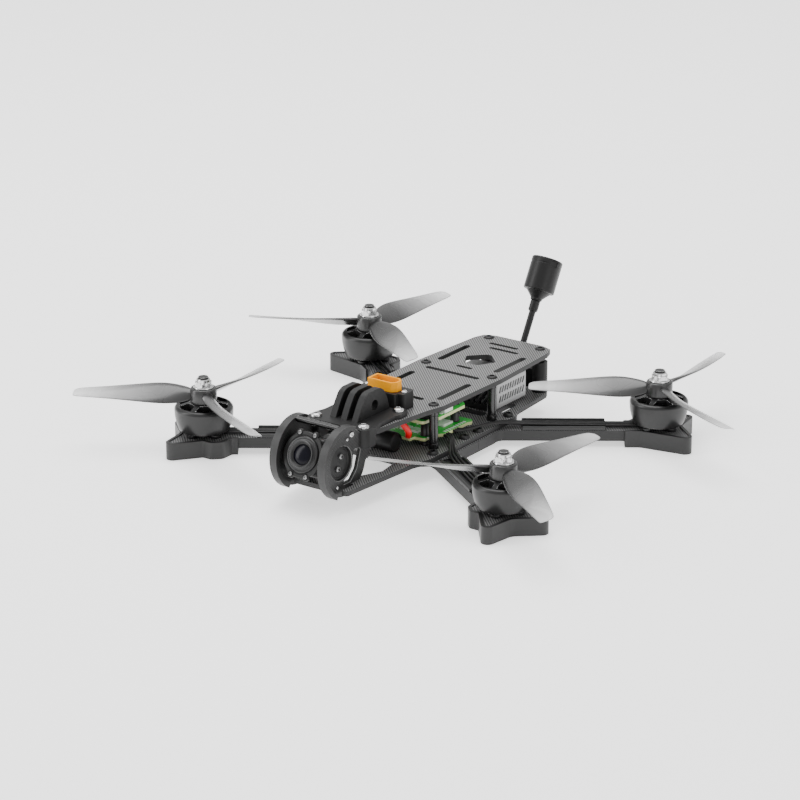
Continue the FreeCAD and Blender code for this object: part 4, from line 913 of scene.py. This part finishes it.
# %% Video unit and its grille
video_low, video_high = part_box("video_unit")
slots = bmesh.new()
for row in (16.0, 21.0):
    for k in range(10):
        y = 36.8 + k * 2.3
        bar_at = Matrix.Translation(Vector((0, y, row)) * MM) @ Matrix.Rotation(math.radians(-24), 4, "X")
        stamp(slots, block((40, 1.25, 3.7), 0.3, 2), bar_at)
inner_room = bmesh.new()
stamp(inner_room, block((30, 25, 11), 0.2, 1), Matrix.Translation(Vector((0, 47.0, 18.2)) * MM))
recut("video_unit", [ALLOY], width=0.2, segments=1, cutters=[inner_room, slots])
# a block that stands for the board inside, near black as painted shade, so that the slots look dark
dark_inside_block = bmesh.new()
stamp(dark_inside_block, block((26, 22, 9), 0.3, 1), Matrix.Translation(Vector((0, 47.0, 18.2)) * MM))
show("video_core", dark_inside_block, "frame", [CHIP])
grille_cuts = bmesh.new()
for k in range(9):
    x = -13.6 + 3.4 * k
    bar_at = Matrix.Translation(Vector((x, 32.5, 17.5)) * MM) @ Matrix.Rotation(math.radians(38), 4, "Y")
    stamp(grille_cuts, block((1.4, 6, 10.5), 0.3, 2), bar_at)
recut("video_grille", [CASE_BLACK], width=0.15, segments=1, cutters=[grille_cuts])
button = turned([(0, 23.6), (1.1, 23.6), (1.2, 23.8), (1.2, 24.9), (1.0, 25.2), (0, 25.3)], 32)
button_piece = bmesh.new()
stamp(button_piece, button, Matrix.Translation(Vector((9.0, 52.5, 0)) * MM))
show("link_button_cap", button_piece, "link_button", [WHITE_PART], replaces=["link_button"])

# %% [markdown]
# ## Antenna
# The antenna leans back from the tail: a stiff black stem and a drum-shaped cap. The cap is turned, with
# a cone under it and a shallow groove near its top.

# %% Antenna
LEAN = math.radians(29.4)
STEM_FOOT = Vector((0, 82.3, 31.7)) * MM
LEANING = Matrix.Translation(STEM_FOOT) @ Matrix.Rotation(-LEAN, 4, "X")
stem = bmesh.new()
stamp(stem, turned([(0, -15.8), (1.6, -15.8), (1.7, -15.5), (1.7, 21.4), (0, 21.4)], 32), LEANING)
collar = turned([(1.7, 15.4), (2.3, 15.8), (2.5, 16.4), (2.5, 21.0), (2.2, 21.4), (1.7, 21.4)], 32)
stamp(stem, collar, LEANING)
show("antenna_rod", stem, "frame", [SILICONE_BLACK], replaces=["antenna_stem"])
cap = turned([(0, 21.4), (2.7, 21.4), (3.0, 21.8), (3.1, 22.6), (6.5, 26.3), (7.7, 26.4), (8.1, 26.8),
              (8.1, 40.4), (7.95, 40.6), (7.95, 40.9), (8.1, 41.1), (8.1, 43.0), (7.9, 43.4), (7.4, 43.7),
              (0, 43.7)], 80)
cap_mesh = bmesh.new()
stamp(cap_mesh, cap, LEANING)
cap_piece = show("antenna_drum", cap_mesh, "frame", [CASE_BLACK], replaces=["antenna_cap"])
notch = bmesh.new()
stamp(notch, block((2.4, 4, 3.2), 0.3, 2), LEANING @ Matrix.Rotation(math.radians(-30), 4, "Z")
      @ Matrix.Translation(Vector((8.6, 0, 41.0)) * MM))
carve(cap_piece, notch)

# %% [markdown]
# ## Studio
# A pale floor that glows a little like a light table, a white sky, and three large soft lights: one
# overhead, a strip at the left that draws the bright line down each bell and rim, and a weaker one at the
# right.

# %% Floor, sky and lights
FLOOR_LEVEL = cad_box[0].z
floor_mesh = bmesh.new()
bmesh.ops.create_grid(floor_mesh, x_segments=8, y_segments=8, size=8)
mesh = bpy.data.meshes.new("floor")
floor_mesh.to_mesh(mesh)
floor = bpy.data.objects.new("floor", mesh)
bpy.context.scene.collection.objects.link(floor)
floor.location.z = FLOOR_LEVEL
mesh.materials.append(finish("studio_floor", grey(0.95), 0.6, grain=40, vary=0.005, bump=0.0,
                             Emission_Strength=0.9))

world = bpy.data.worlds.new("studio")
bpy.context.scene.world = world
world.use_nodes = True
world.node_tree.nodes["Background"].inputs["Color"].default_value = (1, 1, 1, 1)
world.node_tree.nodes["Background"].inputs["Strength"].default_value = 1.0


def softbox(name, place, size, power):
    light = bpy.data.lights.new(name, "AREA")
    light.shape = "RECTANGLE"
    light.size, light.size_y = size
    light.energy = power
    lamp = bpy.data.objects.new(name, light)
    bpy.context.scene.collection.objects.link(lamp)
    lamp.location = place
    aim(lamp, (0, 0, 0.02))
    return lamp


softbox("overhead", (-0.3, 0.2, 1.4), (1.2, 1.2), 22)
softbox("left_strip", (-1.1, -1.0, 0.7), (0.4, 1.4), 12)
softbox("right_fill", (1.3, -0.3, 0.6), (0.8, 0.8), 3)
print("studio lit")
